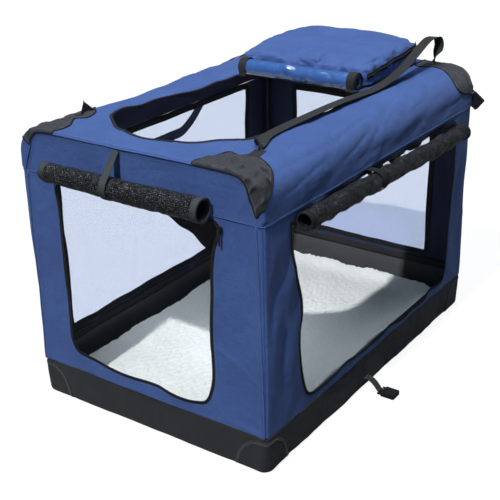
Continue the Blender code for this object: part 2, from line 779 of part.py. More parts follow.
def top_pocket(carrier):
    """The soft pocket behind the top door, lower at its front."""
    front = POCKET_BACK - POCKET_L
    low = HEIGHT + GAP
    pocket = box("top_pocket", (-POCKET_W / 2, front, low), (POCKET_W / 2, POCKET_BACK, low + POCKET_BACK_H))
    middle = (front + POCKET_BACK) / 2
    for vert in pocket.data.vertices:
        if vert.co.z > low + POCKET_FRONT_H / 2 and vert.co.y < middle:
            vert.co.z = low + POCKET_FRONT_H
    bevel = pocket.modifiers.new("round", "BEVEL")
    bevel.width = POCKET_R
    bevel.segments = 2
    keep(pocket, "blue_fabric", carrier)


# Rolled doors and the straps that tie them


def door_roll(name, radius, length, turn, place, finish, carrier):
    """A door rolled up: a true spiral, its outer end where the roll touches what carries it."""
    count = ROLL_TURNS * ROLL_TURN_STEPS
    outer, inner = [], []
    for i in range(count + 1):
        reach = radius - ROLL_PITCH * i / ROLL_TURN_STEPS
        angle = -2 * math.pi * i / ROLL_TURN_STEPS
        for run, r in ((outer, reach), (inner, reach - ROLL_SHEET)):
            run.append((r * math.cos(angle), r * math.sin(angle)))
    keep(plate(name, [outer + inner[::-1]], length, turn, place), finish, carrier)


def tie(name, radius, lead, turn, place, carrier):
    """A strap from its seam down to a roll and round it."""
    r = radius + GAP + WEB_THICK / 2
    route = [(r, lead), *arc((0, 0), r, 0, -TIE_WRAP, ROUND_SIDES)]
    keep(plate(name, [strip(route, WEB_THICK)], TIE_W, turn, place), "black_fabric", carrier)


# Webbing


def webbing(name, line, acrosses, width, finish, carrier):
    """A flat strap along a line, with the way across it given at each point."""
    rings = []
    for i, place in enumerate(line):
        along = (line[min(i + 1, len(line) - 1)] - line[max(i - 1, 0)]).normalized()
        across = (acrosses[i] - acrosses[i].dot(along) * along).normalized()
        out = along.cross(across) * WEB_THICK / 2
        side = across * width / 2
        rings.append([place - side - out, place + side - out, place + side + out, place - side + out])
    keep(loft(name, rings), finish, carrier)


def carry_strap_left(carrier):
    """Hangs down outside the left wall between the two left patches."""
    lift = 2 * WEB_THICK
    deepest = ARCH_R * math.pi / 2 + CARRY_HANG
    line, acrosses = [], []
    steps = 4 * ROUND_SIDES
    for i in range(steps + 1):
        u = 2 * i / steps - 1
        slack = min(max((abs(u) - 0.2) / 0.8, 0), 1)
        run = deepest * (1 + math.cos(math.pi * slack)) / 2
        place, out = over_arch(run, lift)
        line.append(Vector((-place.x, u * CARRY_END_Y, place.y)))
        acrosses.append(Vector((-out.x, 0, out.y)))
    ways = [line[min(i + 1, steps)] - line[max(i - 1, 0)] for i in range(steps + 1)]
    acrosses = [out.cross(way) for out, way in zip(acrosses, ways)]
    webbing("carry_strap_left", line, acrosses, CARRY_W, "black_fabric", carrier)


# Along the half length, across the half width, and up the loop at the back
RIGHT_STRAP_SHARES = (
    (-0.755, 0.72, 0.0), (-0.68, 0.66, 0.0), (-0.58, 0.605, 0.0), (-0.44, 0.59, 0.0),
    (-0.22, 0.595, 0.0), (0.0, 0.605, 0.0), (0.15, 0.63, 0.0), (0.28, 0.655, 0.0),
    (0.42, 0.67, 0.08), (0.56, 0.68, 0.28), (0.7, 0.68, 0.58), (0.82, 0.68, 0.88),
    (0.89, 0.685, 1.0), (0.94, 0.7, 0.95), (0.955, 0.72, 0.7), (0.93, 0.72, 0.35),
    (0.9, 0.72, 0.0),
)


def carry_strap_right(carrier):
    """Lies along the top beside the door, on edge at its ends, and loops up over the back."""
    seat = HEIGHT + 2 * GAP + PATCH_THICK
    places = [
        (along * HALF_L, across * HALF_W, seat + rise * CARRY_LOOP_H)
        for along, across, rise in RIGHT_STRAP_SHARES
    ]
    line = [Vector((x, y, z)) for y, x, z in smooth(places, 3)]
    runs = [0]
    for before, after in zip(line, line[1:]):
        runs.append(runs[-1] + (after - before).length)
    acrosses = []
    last = len(line) - 1
    for i, place in enumerate(line):
        along = (line[min(i + 1, last)] - line[max(i - 1, 0)]).normalized()
        flat = Vector((1, 0, 0)) - along.x * along
        from_end = min(runs[i], runs[-1] - runs[i])
        twist = math.pi / 2 * max(1 - from_end / CARRY_EDGE_SPAN, 0)
        across = flat.normalized() * math.cos(twist) + along.cross(flat).normalized() * math.sin(twist)
        acrosses.append(across)
    for place, across in zip(line, acrosses):
        place.z += CARRY_W / 2 * abs(across.z) + WEB_THICK / 2
    webbing("carry_strap_right", line, acrosses, CARRY_W, "black_fabric", carrier)


# Buckles on their short straps


def bar_strap(name, route, frame, carrier):
    """A short strap that ends looped round a buckle's bar, which is frame's origin."""
    r = BUCKLE_BAR / 2 + GAP + WEB_THICK / 2
    back = 1 if route[-1][1] < 0 else -1
    loop = arc((0, 0), r, -90 * back, 90 * back, ROUND_SIDES // 2)
    line = [tuple(place) for place in smooth(route, 3)] + loop[1:] + [(-BUCKLE_BAR, back * r)]
    strap = plate(name, [strip(line, WEB_THICK)], STRAP_W, ACROSS_LENGTH)
    strap.data.transform(frame)
    keep(strap, "black_fabric", carrier)


def buckle(name, frame, carrier):
    """The socket half of a buckle: a body, two side arms and the bar that its strap loops round."""
    bar, inner = BUCKLE_BAR / 2, BUCKLE_BAR / 2 + BUCKLE_SLOT
    nose = BUCKLE_L - bar
    half_w = BUCKLE_W / 2
    middle = ((inner + nose) / 2, 0)
    outline = rounded((nose - inner) / 2, half_w, BUCKLE_SIDE, middle)
    body = plate(name, [outline], BUCKLE_T)
    pieces = [rod(f"{name}_bar", bar, (0, BUCKLE_SIDE / 2 - half_w, 0), (0, half_w - BUCKLE_SIDE / 2, 0))]
    for side in (LEFT, RIGHT):
        pieces.append(
            box(
                f"{name}_arm_{SIDE_NAMES[side]}",
                (-bar - GAP, side * (half_w - BUCKLE_SIDE), -BUCKLE_FRAME_T / 2),
                (inner + BUCKLE_FRAME_L, side * (half_w - GAP), BUCKLE_FRAME_T / 2),
            )
        )
    for piece in (body, *pieces):
        piece.data.transform(frame)
    keep(join(body, *pieces), "nylon", carrier)


# Zip sliders


PULL_EYE_R = SLIDER_PIN_R + GAP + SLIDER_PIN_R
PIN_OUT = GAP + SLIDER_T + PULL_EYE_R + GAP
PIN_DOWN = SLIDER_L / 4


def zip_slider(name, frame, carrier):
    """A slider that lies on the cloth, with ears and a pin for its pull. Its own way up is Z."""
    body = box(name, (-SLIDER_W / 2, -GAP - SLIDER_T, -SLIDER_L / 2), (SLIDER_W / 2, -GAP, SLIDER_L / 2))
    ear_x = PULL_W / 2 + GAP + SLIDER_EAR / 2
    reach = ear_x + SLIDER_EAR / 2 + GAP
    outline = tab((-GAP - SLIDER_T / 2, -PIN_DOWN), (-PIN_OUT, -PIN_DOWN), SLIDER_EAR_R)
    pieces = [rod(f"{name}_pin", SLIDER_PIN_R, (-reach, -PIN_OUT, -PIN_DOWN), (reach, -PIN_OUT, -PIN_DOWN))]
    for side in (LEFT, RIGHT):
        place = (side * ear_x, 0, 0)
        pieces.append(plate(f"{name}_ear_{SIDE_NAMES[side]}", [outline], SLIDER_EAR, ACROSS_WIDTH, place))
    for piece in (body, *pieces):
        piece.data.transform(frame)
    keep(join(body, *pieces), "zinc", carrier)


def zip_pull(name, frame, carrier):
    """The pull: an eye round the slider's pin and a flat tail."""
    half = PULL_T / 2
    open_angle = math.degrees(math.asin(half / PULL_EYE_R))
    eye = arc((-PIN_OUT, -PIN_DOWN), PULL_EYE_R, open_angle - 90, 270 - open_angle, ROUND_SIDES)
    end = -PIN_DOWN - PULL_L
    edge = eye + [(-PIN_OUT - half, end), (-PIN_OUT + half, end)]
    hole = ring((-PIN_OUT, -PIN_DOWN), SLIDER_PIN_R + GAP, TUBE_SIDES)
    pull = plate(name, [edge, hole], PULL_W, ACROSS_WIDTH)
    pull.data.transform(frame)
    keep(pull, "zinc", carrier)


# Putting the crate together

base_tubes()
for side, end in CORNERS:
    base_corner(side, end)
base_tray()
base_board()
fleece_mat()

for end in (FRONT, BACK):
    end_wall(end)
for side in (LEFT, RIGHT):
    side_wall(side)
window_net(
    "left_window_net", SIDE_DOOR_L, SIDE_DOOR_STRIP, SIDE_NET_COUNT,
    ACROSS_WIDTH, (FABRIC / 2 - HALF_W, 0, 0),
)
window_net(
    "back_window_net", END_DOOR_W, END_DOOR_STRIP, END_NET_COUNT,
    ACROSS_LENGTH, (0, HALF_L - FABRIC / 2, 0),
)

elbows = {}
for side, end in CORNERS:
    corner = f"{END_NAMES[end]}_{SIDE_NAMES[side]}"
    x, y = side * POST_X, end * POST_Y
    foot = pivot(f"foot_pivot_{corner}", (x, y, BASE_PIVOT_Z))
    elbows[side, end] = pivot(f"elbow_pivot_{corner}", (x, y + end * ELBOW_OUT, ELBOW_Z), foot)
    lower_post(side, end, foot)
    upper_post(side, end, elbows[side, end])

top = pivot("top_pivot", (POST_X, -POST_Y, TOP_PIVOT_Z), elbows[RIGHT, FRONT])
for end in (FRONT, BACK):
    hoop(end, top)
top_bars(top)
for side, end in CORNERS:
    top_connector(side, end, top)
top_cover(top)
for side, end in CORNERS:
    corner_patch(side, end, top)
top_pocket(top)

# The three rolls, each with the way its own plane is turned: its first axis points at what carries it
FRONT_ROLL_TURN = ACROSS_WIDTH
SIDE_ROLL_TILT = math.atan(SIDE_ROLL_DROP / SIDE_ROLL_L)
SIDE_ROLL_TURN = (math.radians(90) + SIDE_ROLL_TILT, 0, math.radians(180))
TOP_ROLL_TURN = (0, math.radians(90), 0)

front_roll_z = SKIRT_Z + FRONT_ROLL_UP
front_roll_y = -HALF_L - ROLL_STAND - SIDE_ROLL_R
door_roll(
    "front_door_roll", SIDE_ROLL_R, FRONT_ROLL_L, FRONT_ROLL_TURN,
    (FRONT_ROLL_X, front_roll_y, front_roll_z), "net", top,
)
tie(
    "front_tie", SIDE_ROLL_R, HEIGHT - FRONT_TIE_TOP - front_roll_z, FRONT_ROLL_TURN,
    (FRONT_TIE_X, front_roll_y, front_roll_z), top,
)

side_seam = pivot("side_roll_pivot", (HALF_W, 0, SKIRT_Z), top)
side_roll_x = HALF_W + ROLL_STAND + SIDE_ROLL_R
side_roll_z = SKIRT_Z - SIDE_ROLL_DOWN
door_roll(
    "side_door_roll", SIDE_ROLL_R, SIDE_ROLL_L, SIDE_ROLL_TURN,
    (side_roll_x, 0, side_roll_z), "net", side_seam,
)
side_tie_z = side_roll_z - SIDE_TIE_Y * math.tan(SIDE_ROLL_TILT)
tie(
    "side_tie", SIDE_ROLL_R, SKIRT_Z - side_tie_z, SIDE_ROLL_TURN,
    (side_roll_x, SIDE_TIE_Y, side_tie_z), side_seam,
)

top_seam = pivot("top_roll_pivot", (0, TOP_DOOR_BACK + TIE_W, HEIGHT + GAP), top)
top_roll_y = TOP_DOOR_BACK + GAP
top_roll_z = HEIGHT + ROLL_STAND + TOP_ROLL_R
door_roll(
    "top_door_roll", TOP_ROLL_R, TOP_ROLL_L, TOP_ROLL_TURN,
    (TOP_ROLL_X, top_roll_y, top_roll_z), "film", top_seam,
)
for side in (LEFT, RIGHT):
    x = TOP_ROLL_X + side * (TOP_ROLL_L / 2 - TIE_IN)
    place = (x, top_roll_y, top_roll_z)
    tie(f"top_tie_{SIDE_NAMES[side]}", TOP_ROLL_R, TIE_W, TOP_ROLL_TURN, place, top_seam)

left_ends = pivot("left_strap_pivot", (ARCH_R - HALF_W + CARRY_W / 2, 0, HEIGHT + GAP), top)
carry_strap_left(left_ends)
right_end_x = RIGHT_STRAP_SHARES[0][1] * HALF_W + WEB_THICK
right_ends = pivot("right_strap_pivot", (right_end_x, 0, HEIGHT + 2 * GAP + PATCH_THICK), top)
carry_strap_right(right_ends)

# The strap and buckle that lie on the floor beside the tray
bar_x = HALF_W + BASE_STRAP_REACH
loop_r = BUCKLE_BAR / 2 + GAP + WEB_THICK / 2
base_root = BASE_STRAP_Z - BUCKLE_Z
base_route = [(-BASE_STRAP_REACH + GAP, base_root)]
base_route += [
    (-BASE_STRAP_REACH * along, loop_r + (base_root - loop_r) * rise)
    for along, rise in ((0.82, 0.96), (0.58, 0.66), (0.36, 0.2), (0.18, 0.0), (0.0, 0.0))
]
base_frame = Matrix.Translation((bar_x, BASE_STRAP_Y, BUCKLE_Z))
base_seam = pivot("base_strap_pivot", (HALF_W + GAP + SLIDER_EAR, BASE_STRAP_Y, BASE_STRAP_Z))
base_bar = pivot("base_buckle_pivot", (bar_x, BASE_STRAP_Y, BUCKLE_Z), base_seam)
bar_strap("base_strap", base_route, base_frame, base_seam)
buckle("base_buckle", base_frame, base_bar)

# The strap and buckle at the back right of the cap
slope = REAR_STRAP_SLOPE
down_strap = Vector((math.cos(slope), 0, -math.sin(slope)))
rear_root = Vector((HALF_W - REAR_STRAP_IN, HALF_L + BUCKLE_Z, HEIGHT - REAR_STRAP_UP))
rear_bar_place = rear_root + REAR_STRAP_L * down_strap
turned = Matrix((down_strap, Vector((0, 1, 0)).cross(down_strap), (0, 1, 0))).transposed().to_4x4()
rear_frame = Matrix.Translation(rear_bar_place) @ turned
rear_route = [(-REAR_STRAP_L, GAP + WEB_THICK / 2 - BUCKLE_Z), (-REAR_STRAP_L / 2, -loop_r), (0, -loop_r)]
rear_seam = pivot("rear_strap_pivot", rear_root - Vector((0, BUCKLE_Z - GAP, 0)), top)
rear_bar = pivot("rear_buckle_pivot", rear_bar_place, rear_seam)
bar_strap("rear_strap", rear_route, rear_frame, rear_seam)
buckle("rear_buckle", rear_frame, rear_bar)

# Sliders: a name, its place on the cloth, and how it is turned there
slider_z = SKIRT_Z - SLIDER_DOWN
quarter = Matrix.Rotation(math.radians(90), 4, "Z")
lying = Matrix(((0, -1, 0), (0, 0, -1), (1, 0, 0))).to_4x4()
pocket_front = POCKET_BACK - POCKET_L
pocket_z = HEIGHT + GAP + POCKET_FRONT_H / 2
SLIDERS = (
    ("front_zip", (END_DOOR_W / 2 + ZIP_OUT, -HALF_L, slider_z), Matrix.Identity(4)),
    ("side_zip_front", (HALF_W, -SIDE_DOOR_L / 2 - ZIP_OUT, slider_z), quarter),
    ("side_zip_back", (HALF_W, SIDE_DOOR_L / 2 + ZIP_OUT, slider_z), quarter),
    ("pocket_zip", (POCKET_W / 2, pocket_front + POCKET_R + SLIDER_L, pocket_z), lying),
)
for name, place, turn in SLIDERS:
    frame = Matrix.Translation(place) @ turn
    runner = pivot(f"{name}_track", place, top)
    swing = pivot(f"{name}_pin_axis", frame @ Vector((0, -PIN_OUT, -PIN_DOWN)), runner)
    zip_slider(f"{name}_slider", frame, runner)
    zip_pull(f"{name}_pull", frame, swing)
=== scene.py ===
# %% [markdown]
# # A soft folding dog crate
#
# A steel tube frame stands inside a skin of coated polyester cloth, with zipped doors that roll up,
# mesh windows, a stiff black base and a fleece mat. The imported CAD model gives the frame, the buckles
# and the zip sliders. The cloth is made here, piece by piece, as surfaces worked out with numpy. Each
# one lies where its plain CAD solid lies.

import math

import bmesh
import bpy
import numpy as np
from mathutils import Matrix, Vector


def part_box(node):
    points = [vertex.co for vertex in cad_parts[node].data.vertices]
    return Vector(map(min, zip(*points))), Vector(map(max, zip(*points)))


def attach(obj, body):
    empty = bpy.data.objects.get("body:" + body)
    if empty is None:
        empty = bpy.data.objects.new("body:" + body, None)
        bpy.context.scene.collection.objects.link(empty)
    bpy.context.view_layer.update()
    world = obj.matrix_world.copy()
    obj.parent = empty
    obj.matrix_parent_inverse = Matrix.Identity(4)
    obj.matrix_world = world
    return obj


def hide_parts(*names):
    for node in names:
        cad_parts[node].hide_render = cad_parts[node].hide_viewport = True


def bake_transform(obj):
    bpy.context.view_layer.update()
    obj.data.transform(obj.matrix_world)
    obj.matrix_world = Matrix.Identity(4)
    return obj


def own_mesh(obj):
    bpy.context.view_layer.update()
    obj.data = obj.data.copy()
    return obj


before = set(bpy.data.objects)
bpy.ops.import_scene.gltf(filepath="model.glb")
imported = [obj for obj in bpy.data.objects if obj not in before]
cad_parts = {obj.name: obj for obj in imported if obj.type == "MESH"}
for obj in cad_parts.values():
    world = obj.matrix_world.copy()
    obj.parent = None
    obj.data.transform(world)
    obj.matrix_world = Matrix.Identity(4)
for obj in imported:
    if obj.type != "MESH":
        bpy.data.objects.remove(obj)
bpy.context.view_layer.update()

# %% [markdown]
# ## Sizes
#
# Every size that the cloth shares with the solids is measured from the solids, so the skin fits the
# frame exactly. The few that can't be measured, such as a bend radius, are given here in metres.

# %% Measure the solids
MM = 0.001


def box(name):
    """The lowest and highest corner of a solid."""
    return np.array(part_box(name))


def pack(*values):
    """The values side by side along a new last axis, each spread to the shape of the others."""
    return np.stack(np.broadcast_arrays(*values), -1)


_, tray_high = box("base_tray")
cover_low, cover_high = box("top_cover")
HALF_W, HALF_L = tray_high[:2]
BAND_TOP = tray_high[2]
SEAM_Z = cover_low[2]
TOP_Z = cover_high[2]
CORNER_R = 9 * MM
ARCH_R = 61 * MM
CAP_EDGE_R = 4 * MM
CLOTH = 1.1 * MM
print("half width", HALF_W.round(4), "half length", HALF_L.round(4), "cap seam at", SEAM_Z.round(4))

# %% [markdown]
# ## Camera, light and floor
#
# The camera stands where the photographer stood: ahead of the front right corner, a little above the
# top, and very slightly rolled. One clear sun stands high in front and draws the doors' outlines on
# the mat. A wide soft light from above brightens the top, and a weak sky fills in the shaded side. The
# floor is white for the camera. Seen through a mesh, floor and backdrop take a tint and show the shadow.

# %% Camera
CAMERA_AT = (1.24297, -1.8368, 1.24171)
CAMERA_AZIMUTH, CAMERA_ELEVATION, CAMERA_ROLL = (math.radians(a) for a in (35.0917, 24.0668, -1.224))
CAMERA_LENS = 73.06


def camera_axes():
    """Right, up and back of the camera: back from its azimuth and elevation, the others turned by its roll."""
    level = math.cos(CAMERA_ELEVATION)
    sine, cosine = math.sin(CAMERA_AZIMUTH), math.cos(CAMERA_AZIMUTH)
    back = np.array([sine * level, -cosine * level, math.sin(CAMERA_ELEVATION)])
    right = np.array([cosine, sine, 0])
    up = np.cross(back, right)
    turn, lean = math.cos(CAMERA_ROLL), math.sin(CAMERA_ROLL)
    return turn * right + lean * up, turn * up - lean * right, back


camera = bpy.data.objects.new("camera", bpy.data.cameras.new("camera"))
camera.data.lens = CAMERA_LENS
camera.data.clip_start, camera.data.clip_end = 0.05, 30
axes_and_place = np.column_stack([*camera_axes(), CAMERA_AT])
camera.matrix_world = Matrix((*axes_and_place.tolist(), (0, 0, 0, 1)))
bpy.context.scene.collection.objects.link(camera)
bpy.context.scene.camera = camera
bpy.context.scene.view_settings.view_transform = "Standard"


# %% Node trees
class Wires:
    """Adds nodes to a tree in one line each: a node's keyword settings first, then what feeds it."""

    def __init__(self, tree):
        """Keeps the tree, and its way of joining an output to an input."""
        self.tree, self.join = tree, tree.links.new

    def feed(self, node, feeds):
        """Joins what is a socket to the node's input of that name, and sets the input where it is a value."""
        for socket, source in feeds.items():
            if isinstance(source, bpy.types.NodeSocket):
                self.join(source, node.inputs[socket])
            else:
                node.inputs[socket].default_value = source

    def add(self, kind, feeds=(), **settings):
        """A new node of a kind, with its settings and feeds."""
        node = self.tree.nodes.new(kind)
        for name, value in settings.items():
            setattr(node, name, value)
        self.feed(node, dict(feeds))
        return node

    def math(self, operation, *values):
        """One operation on one to three numbers."""
        return self.add("ShaderNodeMath", dict(enumerate(values)), operation=operation).outputs[0]

    def noise(self, place, scale, detail=3.0, roughness=0.55):
        """Soft noise from 0 to 1: the scale is how many blobs fit in a metre."""
        feeds = {"Vector": place, "Scale": scale, "Detail": detail, "Roughness": roughness}
        return self.add("ShaderNodeTexNoise", feeds).outputs["Fac"]

    def coordinates(self, kind):
        """The place that is shaded, in metres: "Object" in space, or "UV" along the cloth."""
        return self.add("ShaderNodeTexCoord").outputs[kind]


def new_material(name):
    """A node material, the wires of its tree, and its Principled BSDF, which its output already shows."""
    material = bpy.data.materials.new(name)
    material.use_nodes = True
    tree = material.node_tree
    return material, Wires(tree), tree.nodes["Principled BSDF"]


# %% Light and floor
def place_sun(name, energy, spread, azimuth, elevation, colour):
    """A sun lamp seen at an azimuth and elevation in degrees, with a soft edge this many degrees wide."""
    lamp = bpy.data.lights.new(name, "SUN")
    lamp.energy, lamp.angle, lamp.color = energy, math.radians(spread), colour
    holder = bpy.data.objects.new(name, lamp)
    holder.rotation_euler = (math.radians(90 - elevation), 0, math.radians(azimuth))
    bpy.context.scene.collection.objects.link(holder)


place_sun("key", 2.5, 1.6, azimuth=4, elevation=51, colour=(1, 0.99, 0.97))
place_sun("softbox", 2.0, 44, azimuth=0, elevation=88, colour=(0.9, 0.955, 1))


def through_mesh(w, plain, tinted):
    """One colour seen directly and another seen through the holes of a mesh, whose threads tint the light."""
    passed = w.math("GREATER_THAN", w.add("ShaderNodeLightPath").outputs["Transparent Depth"], 0.5)
    return w.add("ShaderNodeMix", {"Factor": passed, 6: plain, 7: tinted}, data_type="RGBA").outputs[2]


world = bpy.data.worlds.new("studio")
world.use_nodes = True
w = Wires(world.node_tree)
sky, shown = (world.node_tree.nodes[name] for name in ("Background", "World Output"))
w.feed(sky, {"Color": (0.62, 0.82, 1, 1), "Strength": 0.145})
backdrop = through_mesh(w, (1, 1, 1, 1), (0.95, 1.04, 1.27, 1))
white = w.add("ShaderNodeBackground", {"Color": backdrop, "Strength": 1})
rays = w.add("ShaderNodeLightPath").outputs
seen = w.math("MAXIMUM", rays["Is Camera Ray"], rays["Is Transmission Ray"])
choose = w.add("ShaderNodeMixShader", {0: seen, 1: sky.outputs[0], 2: white.outputs[0]})
w.join(choose.outputs[0], shown.inputs["Surface"])
bpy.context.scene.world = world

FLOOR_REACH = 14
floor_mesh = bpy.data.meshes.new("floor")
floor_corners = [(a * FLOOR_REACH, b * FLOOR_REACH, 0) for a, b in ((-1, -1), (1, -1), (1, 1), (-1, 1))]
floor_mesh.from_pydata(floor_corners, [], [(0, 1, 2, 3)])
floor = bpy.data.objects.new("floor", floor_mesh)
bpy.context.scene.collection.objects.link(floor)
floor_paint, w, shader = new_material("pale_floor")
w.feed(shader, {"Base Color": through_mesh(w, (0.1, 0.1, 0.1, 1), (0.58, 0.58, 0.54, 1)), "Roughness": 0.9})
by_camera = w.add("ShaderNodeLightPath").outputs["Is Camera Ray"]
tone = through_mesh(w, (0.9, 0.9, 0.9, 1), (0.22, 0.3, 0.56, 1))
glow = w.add("ShaderNodeEmission", {"Strength": by_camera, "Color": tone})
both = w.add("ShaderNodeAddShader", {0: shader.outputs[0], 1: glow.outputs[0]})
w.join(both.outputs[0], w.tree.nodes["Material Output"].inputs["Surface"])
floor_mesh.materials.append(floor_paint)
print("camera, two lamps, sky and floor")

# %% [markdown]
# ## Shared effects for the finishes
#
# Cloth, webbing, mesh and film share the same effects. Each effect is a shader node group with named
# inputs: `weave` for threads, `fade` for uneven colour and dust, `crumple` for small creases, and `net`
# for the holes of a mesh. Every piece has a UV map in metres, so a thread is as wide on a narrow tape
# as on a wall.


# %% The group builder
def srgb(red, green, blue):
    """A colour given as screen values from 0 to 255, as the linear values that a shader works with."""
    share = np.array([red, green, blue]) / 255
    low = share / 12.92
    high = ((share + 0.055) / 1.055) ** 2.4
    return (*np.where(share <= 0.04045, low, high), 1)


def new_group(name, inputs, outputs):
    """A shader node group with these named inputs and outputs, and the wires to fill it with."""
    tree = bpy.data.node_groups.new(name, "ShaderNodeTree")
    for label, kind, value in inputs:
        socket = tree.interface.new_socket(label, in_out="INPUT", socket_type=kind)
        socket.default_value = value
    for label, kind in outputs:
        tree.interface.new_socket(label, in_out="OUTPUT", socket_type=kind)
    wires = Wires(tree)
    return tree, wires, wires.add("NodeGroupInput").outputs, wires.add("NodeGroupOutput").inputs


FLOAT, COLOUR = "NodeSocketFloat", "NodeSocketColor"

# %% Weave, fade, crumple and net
weave, w, given, put = new_group("weave", [("Threads", FLOAT, 900.0), ("Slub", FLOAT, 0.3)], [("Height", FLOAT)])
place = w.coordinates("UV")
split = w.add("ShaderNodeSeparateXYZ", {0: place}).outputs
turns = [w.math("MULTIPLY", w.math("MULTIPLY", split[i], given["Threads"]), math.pi) for i in range(2)]
warp, weft = (w.math("SINE", t) for t in turns)
over = w.math("MULTIPLY", warp, weft)
loose = w.math("MULTIPLY", w.noise(place, 900, 2.0), given["Slub"])
w.join(w.math("ADD", w.math("MULTIPLY_ADD", over, 0.5, 0.5), loose), put["Height"])

fade, w, given, put = new_group(
    "fade",
    [("Colour", COLOUR, (0.5, 0.5, 0.5, 1)), ("Worn", COLOUR, (0.6, 0.6, 0.6, 1)), ("Amount", FLOAT, 0.3),
     ("Fleck", FLOAT, 0.1), ("Roughness", FLOAT, 0.6)],
    [("Colour", COLOUR), ("Roughness", FLOAT)],
)
place = w.coordinates("Object")
patchy = w.math("MULTIPLY_ADD", w.noise(place, 9, 4.0), 0.6, w.math("MULTIPLY", w.noise(place, 55, 3.0), 0.4))
spread = w.add("ShaderNodeMapRange", {0: patchy, 1: 0.32, 2: 0.68}).outputs[0]
amount = w.math("MULTIPLY", spread, given["Amount"])
mixed = w.add("ShaderNodeMix", {"Factor": amount, 6: given["Colour"], 7: given["Worn"]}, data_type="RGBA").outputs[2]
grain = w.math("MULTIPLY_ADD", w.noise(place, 420, 2.0), 1.6, w.noise(place, 1500, 1.0))
fleck = w.math("MULTIPLY_ADD", grain, given["Fleck"], w.math("MULTIPLY_ADD", given["Fleck"], -1.3, 1.0))
speckled = w.add("ShaderNodeVectorMath", {0: mixed, "Scale": fleck}, operation="SCALE")
w.join(speckled.outputs[0], put["Colour"])
w.join(w.math("MULTIPLY_ADD", spread, 0.12, given["Roughness"]), put["Roughness"])

crumple, w, given, put = new_group("crumple", [("Size", FLOAT, 0.02), ("Sharp", FLOAT, 0.5)], [("Height", FLOAT)])
place = w.coordinates("Object")
scale = w.math("DIVIDE", 1.0, given["Size"])
bend = w.add("ShaderNodeTexNoise", {"Vector": place, "Scale": 6.0, "Detail": 2.0}).outputs["Color"]
bent = w.add("ShaderNodeVectorMath", {0: bend, 1: (0.03,) * 3, 2: place}, operation="MULTIPLY_ADD").outputs[0]
broad = w.noise(bent, scale, 3.0)
ridge = w.math("SUBTRACT", 1.0, w.math("MULTIPLY", w.math("ABSOLUTE", w.math("SUBTRACT", broad, 0.5)), 5.0))
keen = w.math("MULTIPLY", w.math("MAXIMUM", ridge, 0.0), given["Sharp"])
w.join(w.math("ADD", broad, keen), put["Height"])

net, w, given, put = new_group(
    "net", [("Pitch", FLOAT, 0.0016), ("Thread", FLOAT, 0.16)], [("Thread", FLOAT), ("Height", FLOAT)]
)
place = w.coordinates("UV")
per_metre = w.math("DIVIDE", 1.0, given["Pitch"])
cells = w.add("ShaderNodeVectorMath", {0: place, "Scale": per_metre}, operation="SCALE").outputs[0]
split = w.add("ShaderNodeSeparateXYZ", {0: cells}).outputs
row = w.math("MULTIPLY", split[1], 1.155)
shift = w.math("MULTIPLY", w.math("MODULO", w.math("FLOOR", row), 2.0), 0.5)
across = w.math("SUBTRACT", w.math("FRACT", w.math("ADD", split[0], shift)), 0.5)
up = w.math("SUBTRACT", w.math("FRACT", row), 0.5)
away = w.math("SQRT", w.math("ADD", w.math("MULTIPLY", across, across), w.math("MULTIPLY", up, up)))
hole = w.math("SUBTRACT", 0.56, given["Thread"])
solid = w.add("ShaderNodeMapRange", {0: away, 1: hole, 2: w.math("ADD", hole, 0.05)}).outputs[0]
w.join(solid, put["Thread"])
w.join(solid, put["Height"])
print("groups:", ", ".join(sorted(g.name for g in bpy.data.node_groups)))

# %% [markdown]
# ## Finishes
#
# A finish is a Principled BSDF with its own values, fed by the groups above. Polyester cloth is fairly
# rough with a soft sheen, since light catches the loose fibre ends at a glancing angle. Film is smooth
# and glossy. Fleece is nearly matt and has a strong sheen.


# %% The finish builder
def finish(name, colour, worn, rough, crease=(), woven=(), pile=0.0, amount=0.35, fleck=0.12, sheen=0.0, coat=0.0,
           specular=0.35, metal=0.0):
    """A material: faded colour, and a bump of weave on top of a bump of creases. Colours are screen values. Creases
    have a height and a size, a weave has its threads and a height, and a pile has a height, all in metres."""
    material, w, shader = new_material(name)
    given = {"Colour": srgb(*colour), "Worn": srgb(*worn), "Amount": amount, "Fleck": fleck, "Roughness": rough}
    tinted = w.add("ShaderNodeGroup", node_tree=fade)
    w.feed(tinted, given)
    w.feed(shader, {
        "Base Color": tinted.outputs["Colour"], "Roughness": tinted.outputs["Roughness"],
        "Specular IOR Level": specular, "Metallic": metal, "Sheen Weight": sheen, "Sheen Roughness": 0.4,
        "Coat Weight": coat, "Coat Roughness": 0.12,
    })
    layers = []
    if crease:
        layers.append((w.add("ShaderNodeGroup", {"Size": crease[1]}, node_tree=crumple).outputs[0], crease[0]))
    if woven:
        layers.append((w.add("ShaderNodeGroup", {"Threads": woven[0]}, node_tree=weave).outputs[0], woven[1]))
    if pile:
        layers.append((w.noise(w.coordinates("Object"), 420, 4.0, 0.7), pile))
    below = {}
    for height, distance in layers:
        below = {"Normal": w.add("ShaderNodeBump", {"Height": height, "Distance": distance, **below}).outputs[0]}
    w.feed(shader, below)
    return material


